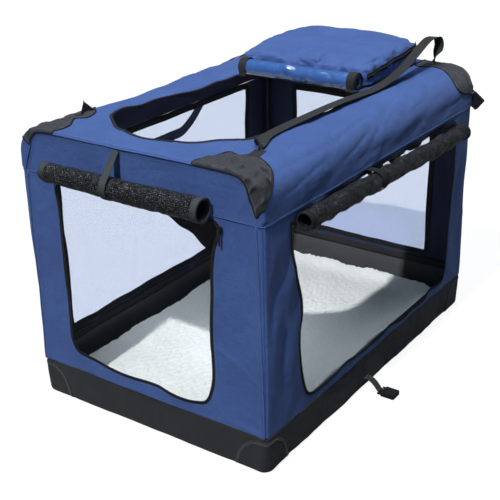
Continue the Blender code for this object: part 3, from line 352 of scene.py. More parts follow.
# %% The cloths, webbing, plastic and metal
blue_cloth = finish("blue_cloth", (62, 90, 152), (77, 108, 172), 0.6, (0.0016, 0.045), (1500, 0.00025),
                    sheen=0.1, fleck=0.42, amount=0.55)
# The inside face is a coated lining of darker navy, darkened further as painted shade of the crate's inside.
painted_shade_lining = finish("painted_shade_inner_face", (46, 54, 86), (58, 66, 98), 0.7, (0.0014, 0.05), (1500, 0.0002))
black_cloth = finish("black_cloth", (37, 38, 42), (53, 54, 58), 0.72, (0.0012, 0.03), (1300, 0.0003), sheen=0.1,
                     fleck=0.4, amount=0.5)
# Painted light: the band's inside is the same black cloth, painted a lighter grey as painted sunlight.
painted_light_lining = finish("painted_light_lining", (80, 82, 87), (100, 103, 108), 0.75, (0.0016, 0.04), (1300, 0.0003), fleck=0.3)
patch_cloth = finish("patch_cloth", (46, 48, 53), (66, 69, 76), 0.6, (0.0016, 0.02), (1300, 0.0003), sheen=0.15,
                     fleck=0.3, amount=0.6)
tape = finish("black_tape", (22, 22, 25), (44, 44, 48), 0.7, woven=(1800, 0.0002), fleck=0.3)
webbing = finish("webbing", (30, 30, 32), (64, 64, 64), 0.66, (0.0006, 0.02), (1100, 0.0004), sheen=0.15, fleck=0.4)
grey_tape = finish("grey_tape", (52, 58, 60), (76, 82, 84), 0.6, woven=(1400, 0.0003), fleck=0.3)
film = finish("blue_film", (50, 92, 162), (68, 110, 178), 0.2, (0.0012, 0.06), coat=1.0, specular=0.9,
              fleck=0.02, amount=0.4)
fleece = finish("white_fleece", (246, 250, 250), (238, 244, 246), 0.95, (0.0016, 0.02), sheen=0.3, fleck=0.12,
                amount=0.5, pile=0.0022, specular=0.1)
thread = finish("sewing_thread", (92, 112, 160), (120, 138, 178), 0.5, fleck=0.3)
grey_thread = finish("grey_thread", (110, 112, 116), (140, 142, 146), 0.5, fleck=0.3)
nylon = finish("moulded_nylon", (18, 18, 20), (40, 40, 42), 0.42, (0.0003, 0.004), fleck=0.1, specular=0.5)
zinc = finish("painted_zinc", (30, 30, 32), (120, 118, 114), 0.34, (0.0002, 0.003), metal=0.6, amount=0.35)
steel = finish("painted_steel", (34, 36, 40), (88, 90, 94), 0.38, (0.0002, 0.004), metal=0.5, amount=0.3)
board = finish("grey_board", (96, 98, 100), (126, 128, 130), 0.8, (0.0004, 0.01))
print(len(bpy.data.materials), "materials")


# %% Mesh, open and rolled
def net_finish(name, colour, pitch, thread_share, cover, rough, specular, painted_glint=()):
    """A mesh cloth: its threads are solid, and its holes let through all but a share called cover. A rolled mesh
    has its holes painted almost black, as painted shade of the turns beneath, and threads of which some are
    painted lighter as painted highlights."""
    material, w, shader = new_material(name)
    colour = srgb(*colour)
    holes = w.add("ShaderNodeGroup", {"Pitch": pitch, "Thread": thread_share}, node_tree=net)
    solid = holes.outputs["Thread"]
    if cover < 1:
        tone = colour
        w.feed(shader, {"Alpha": w.add("ShaderNodeMapRange", {0: solid, 3: cover, 4: 1.0}).outputs[0]})
    else:
        # Painted shade: a rolled mesh's holes are painted almost black, for the shaded turns beneath them.
        painted_shade_holes = (*(0.15 * c for c in colour[:3]), 1)
        # Painted highlights: noise picks spots where the threads are painted a lighter grey, as glints.
        spots = w.noise(w.coordinates("Object"), 470, 1.0)
        painted_glint_share = w.add("ShaderNodeMapRange", {0: spots, 1: 0.54, 2: 0.64}).outputs[0]
        threads = w.add("ShaderNodeMix", {"Factor": painted_glint_share, 6: colour, 7: srgb(*painted_glint)}, data_type="RGBA").outputs[2]
        tone = w.add("ShaderNodeMix", {"Factor": solid, 6: painted_shade_holes, 7: threads}, data_type="RGBA").outputs[2]
    lift = w.add("ShaderNodeBump", {"Height": holes.outputs["Height"], "Distance": 0.0007}).outputs[0]
    w.feed(shader, {"Base Color": tone, "Normal": lift, "Roughness": rough, "Specular IOR Level": specular})
    return material


window_mesh = net_finish("window_mesh", (96, 120, 200), 0.0021, 0.13, 0.04, 0.33, 0.1)
flap_mesh = net_finish("flap_mesh", (13, 13, 15), 0.0021, 0.2, 0.985, 0.7, 0.15)
# The rolled mesh carries painted highlights on its threads and painted shade in its holes.
rolled_mesh = net_finish("rolled_mesh", (11, 11, 13), 0.0046, 0.2, 1, 0.4, 0.34, (122, 122, 130))

# %% [markdown]
# ## Surfaces from grids
#
# A cloth piece is a rectangle that has been bent, so each one is a grid of points: rows one way and
# columns the other. The points of a whole grid come from one numpy formula, with no loop over vertices.


# %% Grid to mesh
def grid_faces(rows, columns, loop_rows=False, loop_columns=False):
    """Quads of a grid: each joins a point to its next neighbours both ways, and wraps round where looped."""
    i, j = np.meshgrid(np.arange(rows - (not loop_rows)), np.arange(columns - (not loop_columns)), indexing="ij")
    corners = [(i, j), (i + 1, j), (i + 1, j + 1), (i, j + 1)]
    faces = [(a % rows) * columns + b % columns for a, b in corners]
    return np.stack(faces, -1).reshape(-1, 4), [(a.ravel(), b.ravel()) for a, b in corners]


def travelled(points, axis, loop):
    """Metres travelled along one direction of a grid, taken as the mean over the other direction."""
    closed = np.concatenate([points, np.take(points, [0], axis)], axis) if loop else points
    steps = np.linalg.norm(np.diff(closed, axis=axis), axis=-1).mean(1 - axis)
    return np.concatenate([[0], np.cumsum(steps)])


def add_mesh(name, points, faces, uvs, paint, flip=False):
    """Puts points, quads and a UV pair for each face corner into a new smooth object at the origin."""
    if flip:
        faces, uvs = faces[:, ::-1], uvs[:, ::-1]
    mesh = bpy.data.meshes.new(name)
    mesh.vertices.add(len(points))
    mesh.vertices.foreach_set("co", np.ravel(points).astype(np.float32))
    mesh.loops.add(faces.size)
    mesh.loops.foreach_set("vertex_index", np.ravel(faces).astype(np.int32))
    mesh.polygons.add(len(faces))
    mesh.polygons.foreach_set("loop_start", np.arange(0, faces.size, 4, dtype=np.int32))
    mesh.polygons.foreach_set("use_smooth", np.ones(len(faces), bool))
    mesh.uv_layers.new(name="UVMap").data.foreach_set("uv", np.ravel(uvs).astype(np.float32))
    mesh.update(calc_edges=True)
    mesh.validate()
    mesh.materials.append(paint)
    made = bpy.data.objects.new(name, mesh)
    bpy.context.scene.collection.objects.link(made)
    return made


def add_grid(name, points, paint, loop_rows=False, loop_columns=False, uv=None, flip=False, weld=False):
    """A grid as an object. Its UV map is uv at each point, or else the metres travelled both ways."""
    rows, columns = points.shape[:2]
    faces, corners = grid_faces(rows, columns, loop_rows, loop_columns)
    if uv is None:
        u, v = travelled(points, 0, loop_rows), travelled(points, 1, loop_columns)
        uvs = np.stack([pack(u[a], v[b]) for a, b in corners], 1)
    else:
        uvs = uv.reshape(-1, 2)[faces]
    made = add_mesh(name, points.reshape(-1, 3), faces, uvs, paint, flip)
    if weld:
        weld_seams(made)
    return made


def add_ring(name, points, flat, paint, weld=False):
    """A cloth drawn flat as rows round an outline, with its flat places as its UV map."""
    return add_grid(name, points, paint, loop_rows=True, uv=flat, flip=True, weld=weld)


def weld_seams(made):
    """Merges points that lie on each other, which closes the ends of a tube and the middle of a disc."""
    bm = bmesh.new()
    bm.from_mesh(made.data)
    bmesh.ops.remove_doubles(bm, verts=bm.verts, dist=0.002 * MM)
    bm.to_mesh(made.data)
    bm.free()


def thicken(made, thickness, inside=None):
    """Gives a surface its cloth thickness, inwards by default, with another finish on the inside if given."""
    solid = made.modifiers.new("thickness", "SOLIDIFY")
    solid.thickness, solid.offset = thickness, -1
    solid.use_quality_normals = True
    if inside is not None:
        made.data.materials.append(inside)
        solid.material_offset = 1
    return made


def settle(made, body, *stands_for, folds=False):
    """Puts a piece on its body, hides the solids it stands for, and gives a piece that folds a mesh of its own.
    A piece that bends between two bodies comes with no body."""
    if body:
        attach(made, body)
    if stands_for:
        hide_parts(*stands_for)
    if folds:
        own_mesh(made)
    return made


# %% Unevenness
WAVES = 10


def waves(points, size, seed):
    """Smooth unevenness from -1 to 1 or so: a sum of sine waves in random directions, each about size long."""
    rng = np.random.default_rng(seed)
    ways = rng.normal(size=(WAVES, points.shape[-1]))
    ways *= rng.uniform(0.6, 1.6, (WAVES, 1)) * 2 * math.pi / size / np.linalg.norm(ways, axis=1)[:, None]
    starts = rng.uniform(0, 2 * math.pi, WAVES)
    return np.sin(points @ ways.T + starts).sum(-1) / math.sqrt(WAVES)


def creases(points, size, seed, width=0.3):
    """Long soft ridges from 0 to 1: where the wave sum passes through nought, over a share width of it."""
    return np.exp(-((waves(points, size, seed) / width) ** 2))


def unit(vectors):
    """The same directions, with a length of one."""
    return vectors / np.maximum(np.linalg.norm(vectors, axis=-1, keepdims=True), 1e-12)


# %% [markdown]
# ## Outlines
#
# Openings and patches are drawn flat, as a tailor draws them, and laid on the crate afterwards. A drawn
# outline is a few points with a smooth closed curve through them, cut into even steps.


# %% Closed outlines
def even_steps(line, count, closed=True):
    """The same line in equal steps: each new point lies at an equal share of the travelled length."""
    ends = np.concatenate([line, line[:1]]) if closed else line
    run = np.concatenate([[0], np.cumsum(np.linalg.norm(np.diff(ends, axis=0), axis=1))])
    at = np.linspace(0, run[-1], count, endpoint=not closed)
    return np.stack([np.interp(at, run, ends[:, k]) for k in range(ends.shape[1])], -1)


def smooth_line(points, count, closed=True):
    """A curve through points given in mm: on each span a cubic whose slopes come from the neighbours on both sides.
    The curve is in metres."""
    points = np.array(points) / 1000
    if closed:
        before, after, last = (np.roll(points, k, 0) for k in (1, -1, -2))
    else:
        padded = np.concatenate([2 * points[:1] - points[1:2], points, 2 * points[-1:] - points[-2:-1]])
        before, points, after, last = padded[:-3], padded[1:-2], padded[2:-1], padded[3:]
    t = np.linspace(0, 1, 24, endpoint=False)[None, :, None]
    p, q, r, s = (x[:, None] for x in (before, points, after, last))
    curve = 0.5 * (2 * q + (r - p) * t + (2 * p - 5 * q + 4 * r - s) * t**2 + (3 * q - p - 3 * r + s) * t**3)
    curve = curve.reshape(-1, points.shape[1])
    if not closed:
        curve = np.concatenate([curve, after[-1:]])
    return even_steps(curve, count, closed)


def rounded_box(low, high, radius, count):
    """A rectangle between two corners with round corners, anticlockwise."""
    (left, bottom), (right, top) = low, high
    x, y = (left + radius, right - radius), (bottom + radius, top - radius)
    corners = []
    for k, middle in enumerate(((x[1], y[0]), (x[1], y[1]), (x[0], y[1]), (x[0], y[0]))):
        turn = np.radians(np.linspace(-90, 0, 10)) + k * math.pi / 2
        corners.append(np.array(middle) + radius * pack(np.cos(turn), np.sin(turn)))
    return even_steps(np.concatenate(corners), count)


def sharp_box(half_a, low_b, high_b, steps=(90, 60)):
    """A rectangle with its four corners kept, anticlockwise from the lower left, with steps along each pair."""
    along, up = np.linspace(0, 1, steps[0], endpoint=False), np.linspace(0, 1, steps[1], endpoint=False)
    a, b = half_a * (2 * along - 1), low_b + (high_b - low_b) * up
    return np.concatenate([
        pack(a, low_b),
        pack(half_a, b),
        pack(-a, high_b),
        pack(-half_a, high_b + low_b - b),
    ])


def anticlockwise(outline):
    """The outline turned so that its area, half the sum of its points' cross products, comes out positive."""
    following = np.roll(outline, -1, 0)
    area = (outline[:, 0] * following[:, 1] - outline[:, 1] * following[:, 0]).sum() / 2
    return outline if area > 0 else outline[::-1]


def grown(outline, distance):
    """The outline moved outwards by a distance, square to its own direction at every point."""
    along = unit(np.roll(outline, -1, 0) - np.roll(outline, 1, 0))
    return outline + distance * pack(along[:, 1], -along[:, 0])


def spanned(start, end, shares):
    """A grid of straight rows: each joins a point of one line to the same point of another, cut at the shares."""
    share = np.asarray(shares)[None, :, None]
    return start[:, None] * (1 - share) + end[:, None] * share


def between(inner, outer, shares, middle=None):
    """A grid from one outline out to another: a ray to each outer point meets the inner outline where it starts.
    The shares say how far along its ray each step lies, from 0 to 1."""
    if middle is None:
        middle = (inner.min(0) + inner.max(0)) / 2
    rays, seen = outer - middle, inner - middle
    angles, own = (np.arctan2(way[:, 1], way[:, 0]) for way in (rays, seen))
    order = np.argsort(own)
    reach = np.interp(angles, own[order], np.linalg.norm(seen, axis=1)[order], period=2 * math.pi)
    return spanned(middle + unit(rays) * reach[:, None], outer, shares)


def disc(outline, steps):
    """A grid from the middle of an outline out to it."""
    return spanned(np.broadcast_to(outline.mean(0), outline.shape), outline, np.linspace(0, 1, steps))


def nearness(places, outline, fade_over):
    """How near each flat place is to an outline: 1 on it, falling away over a distance."""
    flat = places.reshape(-1, 2)
    marks = outline[:: max(1, len(outline) // 160)]
    away = np.sqrt(((flat[:, None] - marks[None]) ** 2).sum(-1)).min(1)
    return np.exp(-away / fade_over).reshape(places.shape[:-1])


# %% [markdown]
# ## The two skins
#
# The crate has two skins. The walls are one upright strip that goes round four rounded corners. The cap
# is one sheet bent over the hoops, from skirt to skirt. Each skin is a function: give it a flat place
# and a height above the cloth, and it gives the point and the way out. Walls, tapes, seams and patches
# all use the same two functions, so everything that is sewn on lies on the cloth wherever it swells.

# %% Walls: a strip round the corners
FLAT_W, FLAT_L = HALF_W - CORNER_R, HALF_L - CORNER_R
BEND = math.pi / 2 * CORNER_R
KNOTS = np.cumsum([0, FLAT_W, BEND, 2 * FLAT_L, BEND, 2 * FLAT_W, BEND, 2 * FLAT_L, BEND, FLAT_W])
CORE_X = np.array([0, 1, 1, 1, 1, -1, -1, -1, -1, 0])
CORE_Y = np.array([-1, -1, -1, 1, 1, 1, 1, -1, -1, -1])
TURNS = np.radians([-90, -90, 0, 0, 90, 90, 180, 180, 270, 270])
MIDDLES = {"front": 0, "right": KNOTS[2] + FLAT_L, "back": KNOTS[4] + FLAT_W, "left": KNOTS[6] + FLAT_L}


def around(run, rise, radius=CORNER_R):
    """A place on the upright strip: the middles of the corner arcs move along a rectangle as the run grows, and
    the way out turns a quarter at each corner. Gives the point and the way out."""
    run = np.mod(run, KNOTS[-1])
    turn = np.interp(run, KNOTS, TURNS)
    x = np.interp(run, KNOTS, CORE_X) * (HALF_W - radius) + radius * np.cos(turn)
    y = np.interp(run, KNOTS, CORE_Y) * (HALF_L - radius) + radius * np.sin(turn)
    return pack(x, y, rise), pack(np.cos(turn), np.sin(turn), 0.0)


def swell(points):
    """How far the cloth stands out of true, in metres: broad waves, finer ones, and a few soft creases."""
    return (1.3 * waves(points, 0.26, 3) + 0.5 * waves(points, 0.09, 5) + 0.9 * creases(points, 0.2, 8, 0.16)) * MM


FOLDS = {"front": 0.5, "right": 1.7, "back": 1.2, "left": 1.2}


def wall_skin(side, opening):
    """The skin of one wall: flat places are metres right of its middle and metres up. Its upright folds die out at
    the edges, and the cloth is looser near the opening."""
    half = FLAT_W if side in ("front", "back") else FLAT_L

    def skin(places, lift=0.0):
        """The place on the strip, moved out by the swell, the loose edge, the folds and the lift."""
        point, way = around(MIDDLES[side] + places[..., 0], places[..., 1])
        edge = nearness(places, opening, 0.035) * 2.2 * MM * waves(point, 0.13, 17)
        upright = np.clip((places[..., 1] - BAND_TOP) / (SEAM_Z - BAND_TOP), 0, 1)
        fading = np.sin(math.pi * upright) ** 0.6 * np.clip((half - np.abs(places[..., 0])) / 0.02, 0, 1)
        wandering = places * (1, 0.2) + 0.05 * np.sin(7 * places[..., 1:]) * (1, 0)
        folds = FOLDS[side] * MM * waves(wandering, 0.06, 19) * fading
        return point + way * (swell(point) + edge + folds + lift)[..., None], way

    return skin


# %% Cap: a sheet over the hoops
FLAT_TOP = HALF_W - ARCH_R
ARC = ARCH_R * math.pi / 2
CAP_REACH = FLAT_TOP + ARC + (TOP_Z - ARCH_R - SEAM_Z)
CAP_HALF_L = HALF_L - CAP_EDGE_R
CAP_TURN = CAP_HALF_L + CAP_EDGE_R * math.pi / 2


def over_hoops(places, lift=0.0):
    """Flat on top, then a quarter circle down each side, then a straight skirt. Past the last hoop the sheet
    rolls over a small edge, and what is left of it runs inwards over the gable. Gives the point and the way out."""
    across, along = np.abs(places[..., 0]), np.abs(places[..., 1])
    side, end = np.sign(places[..., 0]), np.sign(places[..., 1])
    turn = np.clip((across - FLAT_TOP) / ARCH_R, 0, math.pi / 2)
    x = np.clip(across, 0, FLAT_TOP) + ARCH_R * np.sin(turn)
    z = TOP_Z - ARCH_R + ARCH_R * np.cos(turn) - np.clip(across - FLAT_TOP - ARC, 0, None)
    roll = np.clip((along - CAP_HALF_L) / CAP_EDGE_R, 0, math.pi / 2)
    zero = np.zeros_like(x)
    up = pack(side * np.sin(turn), zero, np.cos(turn))
    point = pack(side * x, end * (np.minimum(along, CAP_HALF_L) + CAP_EDGE_R * np.sin(roll)), z)
    point = point - up * (CAP_EDGE_R * (1 - np.cos(roll)) + np.clip(along - CAP_TURN, 0, None))[..., None]
    way = up * np.cos(roll)[..., None] + pack(zero, end * np.sin(roll), zero)
    return point + way * np.broadcast_to(np.asarray(lift, float), x.shape)[..., None], way


def wrapped(across):
    """How far the cap's cloth reaches on to the gable: a little along the top, and more round the two corners."""
    return (0.5 + 22 * np.exp(-(((np.abs(across) - 0.318) / 0.05) ** 2))) * MM


# Drawn over the top door as it hangs: mm right of the middle line and mm behind the middle
TOP_OPENING = smooth_line([
    (-150, 122), (-166, 80), (-176, 22), (-192, -90), (-206, -190), (-209, -250), (-196, -288), (-171, -316),
    (-105, -366), (-30, -398), (30, -388), (78, -364), (132, -324), (153, -290), (160, -246), (167, -115),
    (176, -21), (180, 85), (172, 122), (100, 127), (-100, 127),
], 300)


def cap_skin(places, lift=0.0):
    """The cap's cloth: over the hoops, sagging between them, hanging a little round the door, and creased. It
    hangs less at the front hoop and where the rolled film holds it up."""
    base, way = over_hoops(places)
    side, along = places[..., 0], places[..., 1]
    level = np.clip(way[..., 2], 0, 1)
    span = np.clip(1 - (along / CAP_HALF_L) ** 2, 0, 1)
    near = nearness(places, TOP_OPENING, 0.045)
    hang = 4.5 * MM * span * level
    held = np.clip((along + 0.42) / 0.4, 0, 1) * np.clip((0.14 - along) / 0.13, 0.1, 1)
    hang += near * np.where(side < 0, 13 * MM, 6 * MM) * held * level
    slant = pack(side + 0.22 * along, 0.2 * along)
    drag = (creases(slant, 0.075, 31, 0.5) + 0.5 * waves(slant, 0.1, 33)) * span**0.5
    drag = drag * np.clip((np.abs(side) - 0.2) / 0.06, 0, 1) * np.clip((CAP_REACH - np.abs(side)) / 0.03, 0, 1)
    bulge = -2.2 * MM * drag + near * 2.5 * MM * waves(base, 0.11, 23)
    point = base + way * (swell(base) + bulge + lift)[..., None]
    point[..., 2] -= hang
    return point, way


def gable_skin(end):
    """The skin of one gable: flat places are metres right of its middle, seen from outside, and metres up."""

    def skin(places, lift=0.0):
        """The place stood upright at the crate's end, moved out by the swell and the lift."""
        point = pack(-end * places[..., 0], np.full(places.shape[:-1], end * HALF_L), places[..., 1])
        way = np.zeros_like(point)
        way[..., 1] = end
        return point + way * (swell(point) + lift)[..., None], way

    return skin


print("cap cloth", (2 * CAP_REACH).round(3), "wide; wall strip", KNOTS[-1].round(3), "round")

# %% [markdown]
# ## Strips, tapes, piping and stitches
#
# Anything long is a small profile carried along a path: a round one for piping and zip coils, a flat
# one for tapes and webbing. A stitch is a short rounded dash of thread, and there are thousands, so each
# has only six faces and a whole row is one mesh.


# %% Profiles and paths
def round_profile(radius, turn=np.linspace(0, 2 * math.pi, 8, endpoint=False)):
    """Points on a circle: first the share out of the cloth, then the share across the path."""
    return radius * pack(np.cos(turn), np.sin(turn))


def flat_profile(width, thickness, sides=12):
    """A flattened loop: a circle raised to a power that squares it up, then stretched."""
    turn = np.linspace(0, 2 * math.pi, sides, endpoint=False) + math.pi / sides
    circle = round_profile(1, turn)
    return np.sign(circle) * np.abs(circle) ** 0.35 * (thickness / 2, width / 2)


def path_frame(path, out, closed):
    """At each point of a path: the way along, the way out made square to it, and the way across."""
    if closed:
        along = unit(np.roll(path, -1, 0) - np.roll(path, 1, 0))
    else:
        along = unit(np.gradient(path, axis=0))
    out = unit(out - (out * along).sum(-1, keepdims=True) * along)
    return along, out, np.cross(out, along)


def carry(name, path, out, profile, paint, body, *stands_for, closed=False, folds=False):
    """A profile carried along a path. Open ends shrink to a point, so the strip is closed."""
    _, out, across = path_frame(path, out, closed)
    ring = path[:, None] + (profile[None, :, :1] * out[:, None] + profile[None, :, 1:] * across[:, None])
    if not closed:
        ends = [np.repeat(ring[k].mean(0)[None, None], ring.shape[1], 1) for k in (0, -1)]
        ring = np.concatenate([ends[0], ring, ends[1]])
    made = add_grid(name, ring, paint, loop_rows=closed, loop_columns=True, weld=not closed)
    return settle(made, body, *stands_for, folds=folds)


ZIP_TAPE = 5.5 * MM
STITCH = (2.6 * MM, 0.65 * MM, 0.5 * MM)
TOOTH_STEP = 2.4 * MM
DASH = np.array([(a, b, c) for c, a_end in ((-0.3, 0.5), (0.8, 0.36)) for a, b in
                 ((-a_end, -0.5), (a_end, -0.5), (a_end, 0.5), (-a_end, 0.5))])
DASH_FACES = np.array([(3, 2, 1, 0), (4, 5, 6, 7), (0, 1, 5, 4), (1, 2, 6, 5), (2, 3, 7, 6), (3, 0, 4, 7)])


def dashes(name, path, out, paint, body, closed=False, folds=False, step=3.4 * MM, size=STITCH):
    """Equal dashes along a path: each is one small block, turned to lie along the path and on the cloth."""
    run = np.linalg.norm(np.diff(path, axis=0), axis=1).sum()
    count = max(2, int(run / step))
    joined = even_steps(np.concatenate([path, out], -1) * ([1] * 3 + [1e-9] * 3), count, closed)
    places, ways = joined[:, :3], unit(joined[:, 3:])
    along, ways, across = path_frame(places, ways, closed)
    block = DASH * size
    points = places[:, None] + block[:, :1] * along[:, None] - block[:, 1:2] * across[:, None]
    points = points + block[:, 2:] * ways[:, None]
    faces = DASH_FACES[None] + 8 * np.arange(count)[:, None, None]
    uvs = np.broadcast_to(block[DASH_FACES][None, :, :, :2], (count, 6, 4, 2)).reshape(-1, 4, 2)
    return settle(add_mesh(name, points.reshape(-1, 3), faces.reshape(-1, 4), uvs, paint), body, folds=folds)


def stitched(name, skin, line, body, paint, folds=False, closed=True, lift=0.3 * MM):
    """A row of stitches along a flat line on a skin."""
    dashes(name, *skin(line, lift), paint, body, closed, folds)


def edged(name, skin, outline, body, folds=False):
    """The zip round an opening: a flat tape on the cloth, the coil and its teeth on its inner edge, and stitches
    on its outer edge."""
    path, out = skin(grown(outline, ZIP_TAPE / 2 - 1.5 * MM), 0.5 * MM)
    carry(f"{name}_tape", path, out, flat_profile(ZIP_TAPE, 1.4 * MM), tape, body, closed=True, folds=folds)
    coil, out = skin(grown(outline, -1.2 * MM), 0.5 * MM)
    carry(f"{name}_coil", coil, out, round_profile(1.2 * MM), tape, body, closed=True, folds=folds)
    dashes(f"{name}_teeth", coil, out, nylon, body, True, folds, TOOTH_STEP, (1.3 * MM, 3.2 * MM, 1.6 * MM))
    stitched(f"{name}_stitches", skin, grown(outline, ZIP_TAPE + 2 * MM), body, thread, folds)


# %% [markdown]
# ## The base
#
# The base is a shallow black tray of stiffened cloth. Its cut is a foot with a small round edge, an
# upright band and a turned top edge, so one cut carried round the crate makes all of it. At each lower
# corner a second layer is sewn on as a rounded patch, with a double row of stitches round its edge.

# %% The band and its floor
FOOT_R = 10 * MM
FOOT_CORNER_R = 22 * MM


def band_skin(places, lift=0.0):
    """The band's skin: its corners are rounder at the foot, and the lowest part curls in under."""
    run, rise = places[..., 0], places[..., 1]
    radius = CORNER_R + (FOOT_CORNER_R - CORNER_R) * np.clip(1 - rise / BAND_TOP, 0, 1) ** 1.5
    point, way = around(run, rise, radius)
    foot = np.clip((FOOT_R - rise) / FOOT_R, 0, 1)
    inset = FOOT_R * (1 - np.sqrt(1 - foot**2)) * 0.8
    bulge = 0.8 * MM * waves(point, 0.17, 12) + 0.35 * MM * waves(point, 0.05, 13)
    return point + way * (bulge - inset + lift)[..., None], way


def lattice(first, second):
    """A grid of flat places: every value of the first with every value of the second."""
    return pack(*np.meshgrid(first, second, indexing="ij"))


runs = np.linspace(0, KNOTS[-1], 560, endpoint=False)
rises = np.concatenate([[0.4, 0.9, 1.8, 3.2, 5.2, 7.6], np.linspace(10.5, 85, 22)]) * MM
band_points, band_ways = band_skin(lattice(runs, rises))
turned = np.stack([band_points[:, -1] - band_ways[:, -1] * k * MM for k in (1.4, 2.6)], 1)
turned[:, 1, 2] -= 9 * MM
under = np.stack([band_points[:, 0] * (k, k, 0) + (0, 0, 0.6 * MM) for k in (0.0, 0.5, 0.9, 0.97)], 1)
tray_points = np.concatenate([under, band_points, turned], 1)
band = add_grid("base_band", tray_points, black_cloth, loop_rows=True, weld=True)
settle(thicken(band, 1.6 * MM), "base", "base_tray")

lining_points, _ = band_skin(lattice(runs[::2], np.linspace(6 * MM, BAND_TOP - 1 * MM, 12)), -3.2 * MM)
# The inside of the band is painted lighter grey than the black outside, as painted sunlight.
settle(add_grid("base_band_lining", lining_points, painted_light_lining, loop_rows=True, flip=True), "base")
foot_points, foot_ways = around(*np.meshgrid(runs[::2], np.linspace(BAND_TOP, 0.105, 5), indexing="ij"))
strip = add_grid("wall_foot_lining", foot_points - 3.4 * MM * foot_ways, black_cloth, loop_rows=True, flip=True)
settle(thicken(strip, 0.6 * MM), "base", folds=True)

# %% Corner patches on the band
CORNER_RUNS = {"front_right": KNOTS[1], "back_right": KNOTS[3], "back_left": KNOTS[5], "front_left": KNOTS[7]}
PATCH_HALF = 68 * MM
for name, knot in CORNER_RUNS.items():
    turn = np.linspace(0, math.pi, 90)
    arch = pack(np.sign(np.cos(turn)) * np.abs(np.cos(turn)) ** 0.75 * PATCH_HALF,
                3 * MM + 74 * MM * np.sin(turn) ** 0.8)
    outline = even_steps(np.concatenate([arch, [(-PATCH_HALF, 2 * MM), (0, 1.2 * MM), (PATCH_HALF, 2 * MM)]]), 200)
    outline[:, 0] += knot + BEND / 2
    flat = disc(outline, 22)
    points, _ = band_skin(flat, 1.1 * MM)
    patch = add_ring(f"base_patch_{name}", points, flat, black_cloth, True)
    settle(thicken(patch, 1.0 * MM), "base")
    line = even_steps(arch + (knot + BEND / 2, 0), 160, False)
    inwards = unit(np.array([knot + BEND / 2, 20 * MM]) - line)
    for row, inset in enumerate((3.5 * MM, 6.5 * MM)):
        stitched(f"base_patch_{name}_stitches_{row}", band_skin, line + inset * inwards, "base", grey_thread,
                 closed=False, lift=1.3 * MM)
print("base band", band_points.shape[:2], "and", len(CORNER_RUNS), "corner patches")

# %% [markdown]
# ## The walls
#
# Each wall is a panel with one opening. Rays from the middle of the opening meet the opening's edge and
# the panel's edge, and the cloth lies between them as a grid. The front and right openings are doors
# with a zip round them. The left and back ones are windows with mesh sewn in.

# %% Openings as drawn
FRONT_OPENING = smooth_line([
    (-178, 130), (-103, 121), (-40, 116), (30, 119), (100, 112), (132, 115), (158, 126), (172, 160), (178, 205),
    (176, 290), (180, 361), (181, 425), (189, 470), (200, 502), (197, 522), (165, 527), (0, 528), (-170, 528),
    (-202, 520), (-209, 490), (-206, 360), (-207, 203), (-201, 150),
], 320)
RIGHT_OPENING = smooth_line([
    (-300, 112), (-272, 104), (-200, 109), (-146, 112), (-80, 105), (-22, 104), (60, 108), (120, 100), (200, 99),
    (244, 100), (262, 110), (310, 108), (345, 112), (358, 140), (360, 187), (366, 300), (370, 422), (366, 500),
    (350, 522), (300, 526), (0, 527), (-300, 526), (-348, 520), (-361, 490), (-358, 440), (-340, 375), (-329, 309),
    (-337, 267), (-331, 210), (-324, 161), (-314, 130),
], 420)
LEFT_OPENING = rounded_box((-0.362, 0.119), (0.362, 0.527), 0.008, 360)
BACK_OPENING = rounded_box((-0.206, 0.12), (0.206, 0.516), 0.008, 300)
WALLS = {"front": (FRONT_OPENING, FLAT_W), "right": (RIGHT_OPENING, FLAT_L),
         "back": (BACK_OPENING, FLAT_W), "left": (LEFT_OPENING, FLAT_L)}
skins = {}
for side, (opening, half) in WALLS.items():
    skins[side] = wall_skin(side, opening)
    outer = sharp_box(half + BEND / 2, BAND_TOP - 0.5 * MM, SEAM_Z, (150 if half == FLAT_L else 110, 80))
    flat = between(opening, outer, np.linspace(0, 1, 26))
    points, _ = skins[side](flat)
    wall = add_ring(f"{side}_panel", points, flat, blue_cloth)
    # Inside, each wall takes the lining, whose dark navy is partly painted shade.
    settle(thicken(wall, CLOTH, inside=painted_shade_lining), "base", f"{side}_wall", folds=True)

# %% Zips round the two doors, and tapes round the two windows
edged("front_door_edge", skins["front"], FRONT_OPENING, "base", folds=True)
edged("side_door_edge", skins["right"], RIGHT_OPENING, "base", folds=True)
for side, opening in (("left", LEFT_OPENING), ("back", BACK_OPENING)):
    for place, height, width in (("outer", 0.6 * MM, 12 * MM), ("inner", -2.2 * MM, 14 * MM)):
        path, out = skins[side](grown(opening, 1 * MM), height)
        carry(f"{side}_window_{place}_tape", path, out, flat_profile(width, 1.2 * MM), tape, "base", closed=True,
              folds=True)
    stitched(f"{side}_window_stitches", skins[side], grown(opening, 7.5 * MM), "base", thread, True)

# %% Mesh in the windows
SEWN_UNDER = 5 * MM
for side, opening, node in (("left", LEFT_OPENING, "left_window_net"), ("back", BACK_OPENING, "back_window_net")):
    edge = grown(opening, SEWN_UNDER)
    flat = disc(edge, 40)
    base, way = skins[side](flat, -1.1 * MM)
    free = 1 - nearness(flat, edge, 0.03)
    sway = 3.5 * MM * free * waves(base, 0.19, 41) + 1.2 * MM * creases(base, 0.12, 43, 0.2) * free
    points = base - way * np.abs(sway)[..., None]
    window = add_ring(f"{side}_window_mesh", points, flat, window_mesh, True)
    settle(window, "base", node, folds=True)
print("walls:", ", ".join(WALLS))

